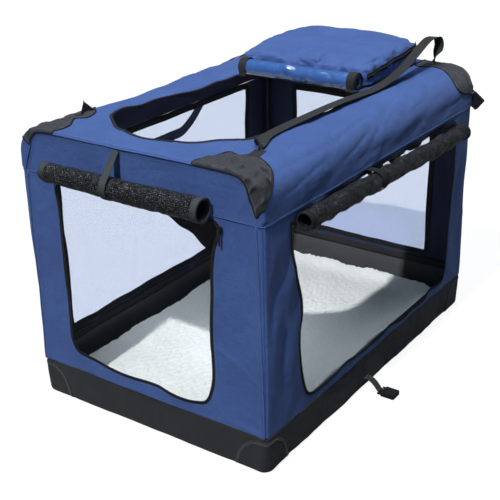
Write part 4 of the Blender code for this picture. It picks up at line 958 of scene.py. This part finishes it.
# %% Seams at the upright corners
def upright(name, knot, shift):
    """An upright line near a corner that drifts away from it with the square of the height, and the way out."""
    rise = np.linspace(BAND_TOP, SEAM_Z, 90)
    to_end = 1 if name in ("front_right", "back_left") else -1
    drift = 11 * MM * ((rise - BAND_TOP) / (SEAM_Z - BAND_TOP)) ** 2
    base, way = around(knot + BEND / 2 - to_end * (shift + drift), rise)
    return base + way * (swell(base) + 0.5 * MM)[:, None], way


for name, knot in CORNER_RUNS.items():
    seam = upright(name, knot, 4 * MM)
    carry(f"corner_seam_{name}", *seam, round_profile(1.7 * MM), blue_cloth, "base", folds=True)
    for row, shift in enumerate((9 * MM, 12.5 * MM)):
        dashes(f"corner_stitches_{name}_{row}", *upright(name, knot, shift), thread, "base", folds=True)

# %% [markdown]
# ## The cap
#
# The cap is drawn flat as one sheet with the door opening cut in it, then bent over the hoops. Its two
# gables are separate panels, sewn on along the rounded edge with a raised seam and two rows of stitches.
# The lower edge of the cap overlaps the walls, which gives the seam that runs all round the crate.

# %% The bent sheet
cap_outer = sharp_box(CAP_REACH, -CAP_TURN, CAP_TURN, (130, 170))
at_end = np.abs(cap_outer[:, 1]) > CAP_TURN - 1e-6
cap_outer[:, 1] += np.sign(cap_outer[:, 1]) * wrapped(cap_outer[:, 0]) * at_end
cap_shares = np.concatenate([np.linspace(0, 0.84, 44, endpoint=False), np.linspace(0.84, 1, 32)])
flat = between(TOP_OPENING, cap_outer, cap_shares, np.array([-0.01, -0.12]))
points, _ = cap_skin(flat, 1.0 * MM)
cap = add_ring("cap_sheet", points, flat, blue_cloth)
settle(thicken(cap, CLOTH, inside=painted_shade_lining), "top", "top_cover")
edged("top_door_edge", lambda places, lift=0.0: cap_skin(places, np.asarray(lift) + 1.0 * MM), TOP_OPENING, "top")


# %% Gables, their raised seams and stitches
def beside_seam(end, past, inset=0.0):
    """A flat line beside the seam between cap and gable: this far past it, and this far short of both skirts."""
    across = np.linspace(-CAP_REACH + inset, CAP_REACH - inset, 220)
    return pack(across, end * (CAP_TURN + wrapped(across) + past))


# The cap's cut through the hoops, from the left skirt over the top to the right skirt
rim = over_hoops(pack(np.linspace(-CAP_REACH, CAP_REACH, 220), 0.0), -CAP_EDGE_R)[0][:, ::2]
for end, name in ((-1, "front"), (1, "back")):
    flat = spanned(pack(np.linspace(rim[0, 0], rim[-1, 0], len(rim)), SEAM_Z), rim, np.linspace(0, 1, 22))
    skin = gable_skin(end)
    if end > 0:
        flat = flat * (-1, 1)
    points, _ = skin(flat, -0.5 * MM)
    gable = add_grid(f"{name}_gable", points, blue_cloth, uv=flat, flip=end > 0)
    settle(thicken(gable, CLOTH, inside=painted_shade_lining), "top")
    seam = cap_skin(beside_seam(end, 0.0), 1.0 * MM)
    carry(f"{name}_gable_seam", *seam, round_profile(1.5 * MM), blue_cloth, "top")
    for row, past in enumerate((-4 * MM, 5 * MM, 9 * MM)):
        stitched(f"{name}_gable_stitches_{row}", cap_skin, beside_seam(end, past, 6 * MM), "top", thread,
                 closed=False, lift=1.2 * MM if past < 0 else 0.0)
    line = pack(np.linspace(-HALF_W + 22 * MM, HALF_W - 22 * MM, 200), SEAM_Z + 4 * MM)
    stitched(f"{name}_seam_stitches", skin, line, "top", thread, closed=False, lift=0.0)
for side, name in ((-1, "left"), (1, "right")):
    line = pack(side * (CAP_REACH - 4 * MM), np.linspace(-CAP_HALF_L, CAP_HALF_L, 260))
    stitched(f"{name}_seam_stitches", cap_skin, line, "top", thread, closed=False, lift=1.3 * MM)
base, way = around(np.linspace(0, KNOTS[-1], 700, endpoint=False), SEAM_Z + 1.2 * MM)
path = base + way * (swell(base) + 0.6 * MM)[:, None]
carry("cap_hem", path, way, round_profile(1.3 * MM), blue_cloth, "top", closed=True)
print("cap sheet", len(cap.data.polygons), "quads")

# %% [markdown]
# ## Corner patches on the cap
#
# A patch of thicker black cloth guards each upper corner. It is sewn down at the gable and crumpled
# where the handle's end is sewn under it, so it is the cap's own skin with a crumpled lift on top.

# %% Patches
FRONT_PATCH = [
    (148, -459), (152, -444), (156, -427), (166.5, -413), (170, -398), (172, -385), (178.5, -377.5), (193.6, -383),
    (203, -385), (210, -378), (220, -369), (236.8, -371), (259.2, -383), (276, -390), (291.2, -401.5),
    (302.4, -415), (316, -432), (329.6, -449), (344, -459.5), (358, -469),
]
BACK_PATCH = [
    (360, 466), (344, 443.5), (335, 410), (325, 385), (309.6, 369), (280, 376), (245, 396), (218, 403), (200, 390),
    (180, 394), (174, 420), (176, 460),
]
LEFT_PATCH = [
    (205, -459), (200, -439.5), (206.4, -405.5), (230, -366), (216, -343.5), (233.6, -298), (262, -292),
    (283, -330), (297, -385), (300, -430), (302, -469),
]
drawings = (("front_right", 1, FRONT_PATCH, 1), ("front_left", -1, LEFT_PATCH, 0.45),
            ("back_right", 1, BACK_PATCH, 0.25), ("back_left", -1, BACK_PATCH, 0.25))
for place, side, drawn, heap in drawings:
    name = f"corner_patch_{place}"
    free = smooth_line(drawn, 150, closed=False)
    sewn = np.linspace(free[-1, 0], free[0, 0], 90)[1:-1]
    sewn = pack(sewn, np.sign(free[0, 1]) * (CAP_TURN + wrapped(sewn) - 1 * MM))
    outline = anticlockwise(even_steps(np.concatenate([free, sewn]), 220) * (side, 1))
    flat = disc(outline, 34)
    inside = 1 - nearness(flat, outline, 0.014)
    base, way = cap_skin(flat)
    rough = 1.6 + inside * (8 * creases(base, 0.045, 51, 0.4) + 3 * waves(base, 0.04, 52) + 1.2) * heap
    points, _ = cap_skin(flat, np.maximum(rough, 1.5) * MM)
    patch = add_ring(f"{name}_cloth", points, flat, patch_cloth, True)
    settle(thicken(patch, 1.0 * MM), "top", name)
    carry(f"{name}_binding", *cap_skin(outline, 1.9 * MM), round_profile(1.6 * MM), tape, "top", closed=True)
    stitched(f"{name}_stitches", cap_skin, grown(outline, -5 * MM), "top", grey_thread, lift=2.2 * MM)
rise, share = np.linspace(0, 1, 14)[:, None], np.linspace(-1, 1, 11)[None]
width = 23 * MM * (1 - rise) ** 0.9
flat = pack(-0.243 + 5 * MM * share**2 * (1 - rise) + 0 * rise, -0.318 + width * share - 5 * MM * rise)
points, _ = cap_skin(flat, (1.6 + 29 * rise - 3 * rise * share**2) * MM)
fold = add_grid("corner_patch_front_left_fold", points, patch_cloth)
settle(thicken(fold, 0.9 * MM), "top")
print("four cap patches, one with a fold that stands up")

# %% [markdown]
# ## Padded pieces
#
# The fleece mat and the pocket are closed and stuffed. Each starts as a pillow: an outline that is
# shrunk towards its middle on top and below, with a height that rises quickly at the edge and levels
# off. Broad waves and creases then move the points, and on the fleece tufts do too. The pocket's
# cloth is a little larger than what it covers, so it is then let go as real cloth for 20 frames,
# which gives it its puckers.


# %% Pillows
def pillow(outline, low, height, edge_round, steps=(60, 8)):
    """Rows of outline copies: up from the bottom's middle, round the side, and in over the top to its middle.
    The side is a quarter of a squared circle. Gives the grid, and how high each point stands from 0 to 1."""
    middle = outline.mean(0)
    top = np.linspace(1, 0, steps[0]) ** 0.9
    turn = np.linspace(0, math.pi / 2, steps[1], endpoint=False)
    size = outline.max() - middle[0]
    edge = edge_round / size
    shrink = np.concatenate([[0, 0.6], 1 - edge * (1 - np.cos(turn) ** 0.6), (1 - edge) * top])
    rise = np.concatenate([[0, 0], np.sin(turn) ** 0.7 * 0.999, np.ones(steps[0])])
    grid = middle + (outline[:, None] - middle) * shrink[None, :, None]
    z = low + rise[None] * height(grid)
    return np.concatenate([grid, z[..., None]], -1), np.broadcast_to(rise, z.shape)


def read(items, what, width=1, kind=np.float32):
    """One value, or one row of values, from each vertex, face or corner of a mesh."""
    values = np.empty(width * len(items), kind)
    items.foreach_get(what, values)
    return values.reshape(-1, width) if width > 1 else values


def box_uv(mesh):
    """A UV map in metres for a mesh that has lost its own: each face uses the two axes that it faces least."""
    facing = np.abs(read(mesh.polygons, "normal", 3)).argmax(1)
    facing = np.repeat(facing, read(mesh.polygons, "loop_total", kind=np.int32))
    places = read(mesh.vertices, "co", 3)[read(mesh.loops, "vertex_index", kind=np.int32)]
    uv = np.take_along_axis(places, np.array([(1, 2), (0, 2), (0, 1)])[facing], 1)
    mesh.uv_layers.new(name="UVMap").data.foreach_set("uv", uv.ravel().astype(np.float32))


PUFF_FRAMES = 20


def puff(made, voxel, pressure, cap, held_below, growth):
    """Cloth let go under a light pressure: an even remesh, then frames in which the cloth grows by a share and only
    the points below a height are held. No point ends further from its start than the cap, and one subdivision
    makes it smooth."""
    scene = bpy.context.scene
    even = made.modifiers.new("even", "REMESH")
    even.mode, even.voxel_size = "VOXEL", voxel
    graph = bpy.context.evaluated_depsgraph_get()
    fresh = bpy.data.meshes.new_from_object(made.evaluated_get(graph))
    made.modifiers.clear()
    made.data = fresh
    start = read(fresh.vertices, "co", 3)
    held = made.vertex_groups.new(name="held")
    held.add(np.flatnonzero(start[:, 2] < held_below).tolist(), 1.0, "REPLACE")
    cloth = made.modifiers.new("cloth", "CLOTH")
    rules = cloth.settings
    rules.quality, rules.mass, rules.bending_stiffness = 6, 0.2, 0.4
    rules.use_pressure, rules.uniform_pressure_force = True, pressure
    rules.vertex_group_mass = "held"
    rules.shrink_min = -growth
    rules.effector_weights.gravity = 0
    cloth.collision_settings.use_collision = False
    for step in range(1, PUFF_FRAMES + 1):
        scene.frame_set(step)
    graph = bpy.context.evaluated_depsgraph_get()
    moved = read(made.evaluated_get(graph).data.vertices, "co", 3) - start
    far = np.linalg.norm(moved, axis=1, keepdims=True)
    end = start + moved * np.minimum(1, cap / np.maximum(far, 1e-9))
    made.modifiers.clear()
    scene.frame_set(1)
    fresh.vertices.foreach_set("co", end.ravel().astype(np.float32))
    fresh.polygons.foreach_set("use_smooth", np.ones(len(fresh.polygons), bool))
    box_uv(fresh)
    fresh.update()
    smooth = made.modifiers.new("smooth", "SUBSURF")
    smooth.levels = smooth.render_levels = 1
    print(made.name, "moved by up to", (far.max() * 1000).round(1), "mm before the cap")


# Heights in mm
MAT_THICKNESS, MAT_CROWN, MAT_CURL = 28, 4, 19
mat_low, mat_high = box("fleece_mat")
mat_outline = rounded_box(mat_low[:2] + 1 * MM, mat_high[:2] - 1 * MM, 0.04, 620)
wobble = waves(mat_outline, 0.06, 61) + 0.6 * waves(mat_outline, 0.018, 62)
mat_outline = mat_outline - unit(mat_outline) * (1.5 * MM * (1 + wobble))[:, None]


def mat_height(places):
    """A flat pad with a low crown, whose edges curl up a little where they meet the band."""
    along = np.abs(places[..., 1]) / mat_high[1]
    inside = (mat_high[:2] - np.abs(places)).min(-1)
    curl = (MAT_CURL + 3 * waves(places, 0.12, 68)) * np.exp(-((inside / 0.03) ** 2))
    return (MAT_THICKNESS + MAT_CROWN * (1 - along**2) + curl) * MM + 1.6 * MM * waves(places, 0.17, 64)


points, stands = pillow(mat_outline, mat_low[2], mat_height, 11 * MM, (96, 9))
tufts = 1.5 * waves(points, 0.016, 65) + 0.9 * waves(points, 0.009, 66) + 1.0 * creases(points, 0.03, 67, 0.4)
points[..., 2] += stands * tufts * MM * 0.7
points[..., :2] += (stands * (1 - stands) * 4 * tufts * 0.5 * MM)[..., None] * unit(points[..., :2])
mat = add_grid("fleece_mat_pile", points, fleece, loop_rows=True, weld=True)
settle(mat, "base", "fleece_mat")

pocket_low, pocket_high = box("top_pocket")
POCKET_FRONT, POCKET_BACK, POCKET_CORNER_R = 40 * MM, 58 * MM, 26 * MM
pocket_outline = rounded_box(pocket_low[:2], pocket_high[:2], POCKET_CORNER_R, 420)


def pocket_height(places):
    """Low at the front and high at the back, with a dome and the drag lines of an empty pocket."""
    along = (places[..., 1] - pocket_low[1]) / (pocket_high[1] - pocket_low[1])
    across = places[..., 0] / pocket_high[0]
    rise = POCKET_FRONT + (POCKET_BACK - POCKET_FRONT) * along
    dome = np.clip(1 - across**2, 0, 1) * 6 * MM * np.sin(np.clip(along, 0, 1) * math.pi * 0.8)
    lines = creases(places * (1, 0.45), 0.11, 73, 0.3) * np.exp(-along / 0.35) * 6 * MM
    return rise + dome - lines + 2.2 * MM * waves(places, 0.1, 74)


points, stands = pillow(pocket_outline, pocket_low[2], pocket_height, 18 * MM, (56, 14))
side_mask = np.clip(stands * (1 - stands) * 4, 0, 1)[..., None]
out = unit(points * (1, 1, 0) - np.array([0, (pocket_low[1] + pocket_high[1]) / 2, 0]))
points = points + out * side_mask * (2.0 * waves(points, 0.07, 75)[..., None] - 1.5) * MM
pocket = add_grid("top_pocket_cloth", points, blue_cloth, loop_rows=True, weld=True)
puff(pocket, 4.5 * MM, 2.2, 9 * MM, pocket_low[2] + 3 * MM, 0.06)
settle(pocket, "top", "top_pocket")
print("mat", len(mat.data.polygons), "and pocket", len(pocket.data.polygons), "quads")

# %% The pocket's zip and lower seam
zip_line = rounded_box(pocket_low[:2] - 0.4 * MM, pocket_high[:2] + 0.4 * MM, POCKET_CORNER_R, 600)
right_side = zip_line[(zip_line[:, 0] > pocket_high[0] - 8 * MM) & (zip_line[:, 1] > pocket_low[1] + 4 * MM)]
right_side = even_steps(right_side[np.argsort(right_side[:, 1])], 90, False)
rise = pocket_low[2] + 22 * MM + np.linspace(0, 24 * MM, 90)
path = np.concatenate([right_side, rise[:, None]], -1)
cloth_points = read(pocket.data.vertices, "co", 3)
cloth_points = cloth_points[cloth_points[:, 0] > pocket_high[0] - 40 * MM]
nearest = ((path[:, None] * (0.2, 1, 1) - cloth_points[None] * (0.2, 1, 1)) ** 2).sum(-1).argmin(1)
at = cloth_points[nearest, 0]
path[:, 0] = np.convolve(np.pad(at, 4, "edge"), np.ones(9) / 9, "valid") + 0.4 * MM
out = np.broadcast_to([1.0, 0, 0], path.shape)
coil = path + out * 0.6 * MM
carry("pocket_zip_tape", path, out, flat_profile(14 * MM, 1.6 * MM), tape, "top")
carry("pocket_zip_coil", coil, out, round_profile(1.6 * MM), tape, "top")
dashes("pocket_zip_teeth", coil, out, nylon, "top", step=TOOTH_STEP, size=(1.3 * MM, 4.2 * MM, 1.9 * MM))
foot_line = pack(*grown(pocket_outline, 0.5 * MM).T, pocket_low[2] + 1.5 * MM)
foot_out = pack(*unit(pocket_outline - pocket_outline.mean(0)).T, 0.0)
carry("pocket_piping", foot_line, foot_out, round_profile(1.4 * MM), tape, "top", closed=True)

# %% [markdown]
# ## Rolled doors
#
# A door that is rolled up is a spiral in cross-section: the radius loses one cloth pitch each turn. The
# spiral is carried along the roll's axis, uneven by a millimetre or so, and its outer end starts below
# and behind the axis, where the door hangs from its edge. The same spiral, short and thicker, makes the
# hems at both ends.


# %% The spiral
HEM = 15 * MM
TURN_STEPS = 26


def spiral(name, axis, up, out, radius, pitch, turns, thickness, paint, seed, span, count=120, slack=1.0, tent=0.0,
           flare=(1.0, 1.0)):
    """Rows along an axis; on each row the way from the axis turns steadily while the radius falls by one pitch a
    turn. It starts below and behind, where the door hangs from its edge. The slack scales its unevenness, and a
    tent is one fold that stands up a little short of the middle. The flare is what the radius is multiplied by at
    the two ends."""
    share = np.linspace(*span, count)[:, None]
    radius = radius * (flare[0] + (flare[1] - flare[0]) * share)
    turned = np.linspace(0, turns * 2 * math.pi, int(turns * TURN_STEPS))[None]
    angle = math.radians(225) - turned
    middle = axis[0] + (axis[1] - axis[0]) * share
    middle = middle - up * (np.sin(share * math.pi) * 1.5 * MM)
    around_way = np.cos(angle)[..., None] * up + np.sin(angle)[..., None] * out
    rough = middle[:, None] + around_way * np.reshape(radius, (-1, 1, 1))
    uneven = (0.9 * waves(rough, 0.07, seed) + 0.7 * waves(rough, 0.025, seed + 1)) * slack * MM
    fold = tent * np.exp(-(((share - 0.42) / 0.045) ** 2)) * np.clip(np.cos(angle - 2.2), 0, 1) ** 3
    size = radius - pitch * turned / (2 * math.pi) + (uneven + fold) * np.clip(1 - turned / 14, 0.15, 1)
    return thicken(add_grid(name, middle[:, None] + around_way * size[..., None], paint), thickness)


def rolled_door(name, axis, up, out, radius, node, body, paint, hem_paint, seed, pitch=1.25 * MM, turns=3.6, **more):
    """A rolled door with a hem at both ends, on its body."""
    axis, up, out = (np.array(v, float) for v in (axis, up, out))
    length = np.linalg.norm(axis[1] - axis[0])
    roll = spiral(name, axis, up, out, radius, pitch, turns, 0.8 * MM, paint, seed, (0.01, 0.99), **more)
    settle(roll, body, node)
    for k, span in enumerate(((0, HEM / length), (1 - HEM / length, 1))):
        hem = spiral(f"{name}_hem_{k}", axis, up, out, radius + 0.6 * MM, 2.1 * MM, 2.2, 1.7 * MM, hem_paint, seed,
                     span, 8, flare=more.get("flare", (1.0, 1.0)))
        settle(hem, body)


front_low, front_high = box("front_door_roll")
top_low, top_high = box("top_door_roll")
UP, FORWARD, RIGHTWARD, BACKWARD = (0, 0, 1), (0, -1, 0), (1, 0, 0), (0, 1, 0)
FRONT_AXIS = ((front_low[0], -0.4815, 0.558), (front_high[0], -0.486, 0.558))
SIDE_AXIS = ((0.3283, -0.359, 0.5217), (0.3283, 0.359, 0.5023))
TOP_AXIS = ((top_low[0], 0.1143, 0.6567), (top_high[0], 0.1143, 0.6567))
rolled_door("front_roll", FRONT_AXIS, UP, FORWARD, 20.0 * MM, "front_door_roll", "top", rolled_mesh, grey_tape, 81,
            flare=(1.03, 1.25))
rolled_door("side_roll_mesh", SIDE_AXIS, UP, RIGHTWARD, 20.0 * MM, "side_door_roll", "side_roll", rolled_mesh, tape,
            84, slack=2.5)
rolled_door("top_roll_film", TOP_AXIS, BACKWARD, UP, 19.4 * MM, "top_door_roll", "top_roll", film, tape, 87,
            pitch=1.6 * MM, turns=5.2, slack=0.6, tent=6 * MM)


# %% What hangs down behind two of the rolls
def hanging(name, skin, lower, seed, ripple):
    """Dark mesh behind a skin, from the cap's edge down to a flat line: its rows run straight down, and waves
    across them grow towards the loose lower edge."""
    upper = pack(lower[:, 0], FLAP_TOP)
    share = np.linspace(0, 1, 26)
    flat = spanned(upper, lower, share)
    wave = ripple * share * waves(flat * (1, 0.25), 0.07, seed)
    points, _ = skin(flat, wave - 5 * MM)
    made = add_grid(name, points, flap_mesh, uv=flat)
    settle(made, "top")
    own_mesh(made)


FLAP_TOP = 0.5385
lower = smooth_line([
    (-198, 531), (-102, 534), (3, 534), (45, 526), (107, 500), (150, 479), (172, 463), (203.5, 438),
], 90, False)
hanging("front_roll_flap", skins["front"], lower, 95, 3 * MM)
along = np.linspace(-0.352, 0.352, 200)
ragged = 0.5 + 0.5 * waves(along[:, None], 0.06, 97)
drop = 6 * MM + (12 * MM + 26 * MM * ragged) * np.exp(-(((along - 0.05) / 0.17) ** 2))
drop += 34 * MM * np.exp(-(((along + 0.35) / 0.03) ** 2))
hanging("side_roll_flap", skins["right"], pack(along, FLAP_TOP - drop), 98, 4 * MM)

# %% [markdown]
# ## Straps and ties
#
# Webbing is a flat strip: a flat profile along a smooth path, with the way across it given where it
# twists. A tie starts on the cloth, runs straight to the roll, goes round it and ends behind it, so its
# path is a line, an arc and a line. The right handle and the side tie bend between the cap and a part
# that moves, so each is made with no body of its own.


# %% Ribbons
HANDLE_WIDTH, TIE_WIDTH, STRAP_WIDTH = 25 * MM, 20 * MM, 19.6 * MM
TIE_END = math.radians(214)


def ribbon(name, path, across, width, body, *stands_for, paint=webbing):
    """A flat strap along a path, with the way across it at each point."""
    out = unit(np.cross(unit(np.gradient(path, axis=0)), across))
    return carry(name, path, out, flat_profile(width, 1.3 * MM, 16), paint, body, *stands_for)


def tie_path(start, centre, radius, end):
    """In the plane across a roll, as (out, up): straight from the start to where it touches the circle, round
    the front and underneath to an angle measured from straight up, and straight to the end."""
    start, centre, end = (np.array(v, float) for v in (start, centre, end))
    toward = start - centre
    reach = np.linalg.norm(toward)
    touch = math.atan2(toward[0], toward[1]) + math.acos(min(radius / reach, 1))
    angle = np.linspace(touch, TIE_END, 60)
    arc = centre + radius * pack(np.sin(angle), np.cos(angle))
    return even_steps(np.concatenate([[start], arc, [end]]), 90, False)


def tie(name, place, ways, line, body, node, width=TIE_WIDTH, paint=webbing):
    """A tie as a ribbon in a plane across a roll, at a place along it. The ways are out, up and along."""
    flat = tie_path(*line)
    out, up, along = np.array(ways, float)
    path = np.array(place, float) + flat[:, :1] * out + flat[:, 1:] * up
    return ribbon(name, path, np.broadcast_to(along, path.shape), width, body, node, paint=paint)


FRONT_TIE = ((0.0028, 0.626), (0.0262, 0.558), 25.3 * MM, (0.0012, 0.5332))
SIDE_TIE = ((0.002, 0.5362), (0.0233, 0.5141), 22.6 * MM, (0.0012, 0.493))
TOP_TIE = ((0.0016, 0.1355), (0.0217, 0.1143), 21.5 * MM, (0.0018, 0.0945))
tie("front_tie_webbing", (-0.035, -HALF_L, 0), (FORWARD, UP, RIGHTWARD), FRONT_TIE, "top", "front_tie", 17 * MM,
    grey_tape)
side_tie = tie("side_tie_webbing", (HALF_W, -0.075, 0), (RIGHTWARD, UP, BACKWARD), SIDE_TIE, None, "side_tie",
               paint=tape)
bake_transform(side_tie)
for name, x in (("top_tie_left", -0.126), ("top_tie_right", 0.166)):
    tie(f"{name}_webbing", (x, 0, TOP_Z), (UP, BACKWARD, RIGHTWARD), TOP_TIE, "top_roll", name)

# %% The handles
u = np.linspace(-1, 1, 121)
slack = np.clip((np.abs(u) - 0.2) / 0.8, 0, 1)
run = (ARC + 102 * MM) * (1 + np.cos(math.pi * slack)) / 2
flat = pack(-(FLAT_TOP + run), u * 345 * MM)
path, out = cap_skin(flat, 2.6 * MM)
path[:, 0] -= 1.2 * MM * np.clip((SEAM_Z - path[:, 2]) / (30 * MM), 0, 1)
across = np.cross(out, unit(np.gradient(path, axis=0)))
ribbon("left_handle", path, across, HANDLE_WIDTH, "carry_strap_left", "carry_strap_left")

# Shares of the half length, of the half width and of the rise over the top
RIGHT_HANDLE = np.array([
    (-0.755, 0.72, 0.0), (-0.68, 0.66, 0.0), (-0.58, 0.605, 0.0), (-0.44, 0.59, 0.0), (-0.22, 0.595, 0.0),
    (0.0, 0.605, 0.0), (0.15, 0.63, 0.0), (0.28, 0.655, 0.0), (0.42, 0.67, 0.08), (0.56, 0.68, 0.28),
    (0.7, 0.68, 0.58), (0.82, 0.68, 0.88), (0.89, 0.685, 1.0), (0.94, 0.7, 0.95), (0.955, 0.72, 0.7),
    (0.93, 0.72, 0.35), (0.9, 0.72, 0.0),
])
HANDLE_RISE = 66 * MM
path = smooth_line(RIGHT_HANDLE * (HALF_L, HALF_W, HANDLE_RISE) * 1000, 220, False)[:, [1, 0, 2]]
path[:, 2] += TOP_Z + 2.1 * MM
along = unit(np.gradient(path, axis=0))
run = np.linspace(0, 1, 220) * np.linalg.norm(np.diff(path, axis=0), axis=1).sum()
twist = math.pi / 2 * np.clip(1 - np.minimum(run, run[-1] - run) / (40 * MM), 0, 1)
flat = unit(np.array([1.0, 0, 0]) - along * along[:, :1])
across = flat * np.cos(twist)[:, None] + np.cross(along, flat) * np.sin(twist)[:, None]
path[:, 2] += 12.5 * MM * np.abs(across[:, 2]) + 0.7 * MM
handle = ribbon("right_handle", path, across, HANDLE_WIDTH, None, "carry_strap_right")
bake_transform(handle)

root = smooth_line([(230, -405), (226.5, -390), (223.5, -372), (220.5, -350), (219, -336)], 60, False)
path, out = cap_skin(root, np.linspace(2.2, 1.6, 60) * MM)
across = np.cross(out, unit(np.gradient(path, axis=0)))
ribbon("right_handle_root", path, across, 24 * MM, "top")

# %% Short straps to the buckles
path = smooth_line([(306.2, 27.2), (314, 27.8), (324, 25), (334, 17), (341, 8.5), (347, 3.5), (349.5, 3)], 60, False)
path = pack(path[:, 0], -0.056, path[:, 1])
ribbon("base_strap_webbing", path, np.broadcast_to([0.0, 1, 0], path.shape), STRAP_WIDTH, "base_strap", "base_strap")
path = smooth_line([(271.5, 458.7, 582.8), (279, 459.2, 576.8), (288, 460.6, 569.8), (296.5, 463, 563)], 40, False)
across = unit(np.cross([0.0, 1, 0], unit(np.gradient(path, axis=0))))
ribbon("rear_strap_webbing", path, across, STRAP_WIDTH, "rear_strap", "rear_strap")
print("two handles, four ties, two short straps")

# %% [markdown]
# ## Hard parts
#
# The tubes, fittings, buckles, sliders and pulls are right as they come from the CAD model. Only their
# finish changes: painted steel for tubes, moulded nylon for fittings and buckles, painted zinc for zips.

# %% Finishes of the solids that stay
HARD = (("tube", steel), ("post", steel), ("hoop", steel), ("bar", steel), ("corner", nylon), ("connector", nylon),
        ("buckle", nylon), ("board", board), ("slider", zinc), ("pull", zinc))
for name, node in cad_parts.items():
    if not node.hide_render:
        paint = next(paint for word, paint in HARD if word in name)
        for slot in node.material_slots:
            slot.material = paint
still_cloth = [n for n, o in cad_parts.items() if not o.hide_render and not any(w in n for w, _ in HARD)]
print("cloth solids left showing:", still_cloth)
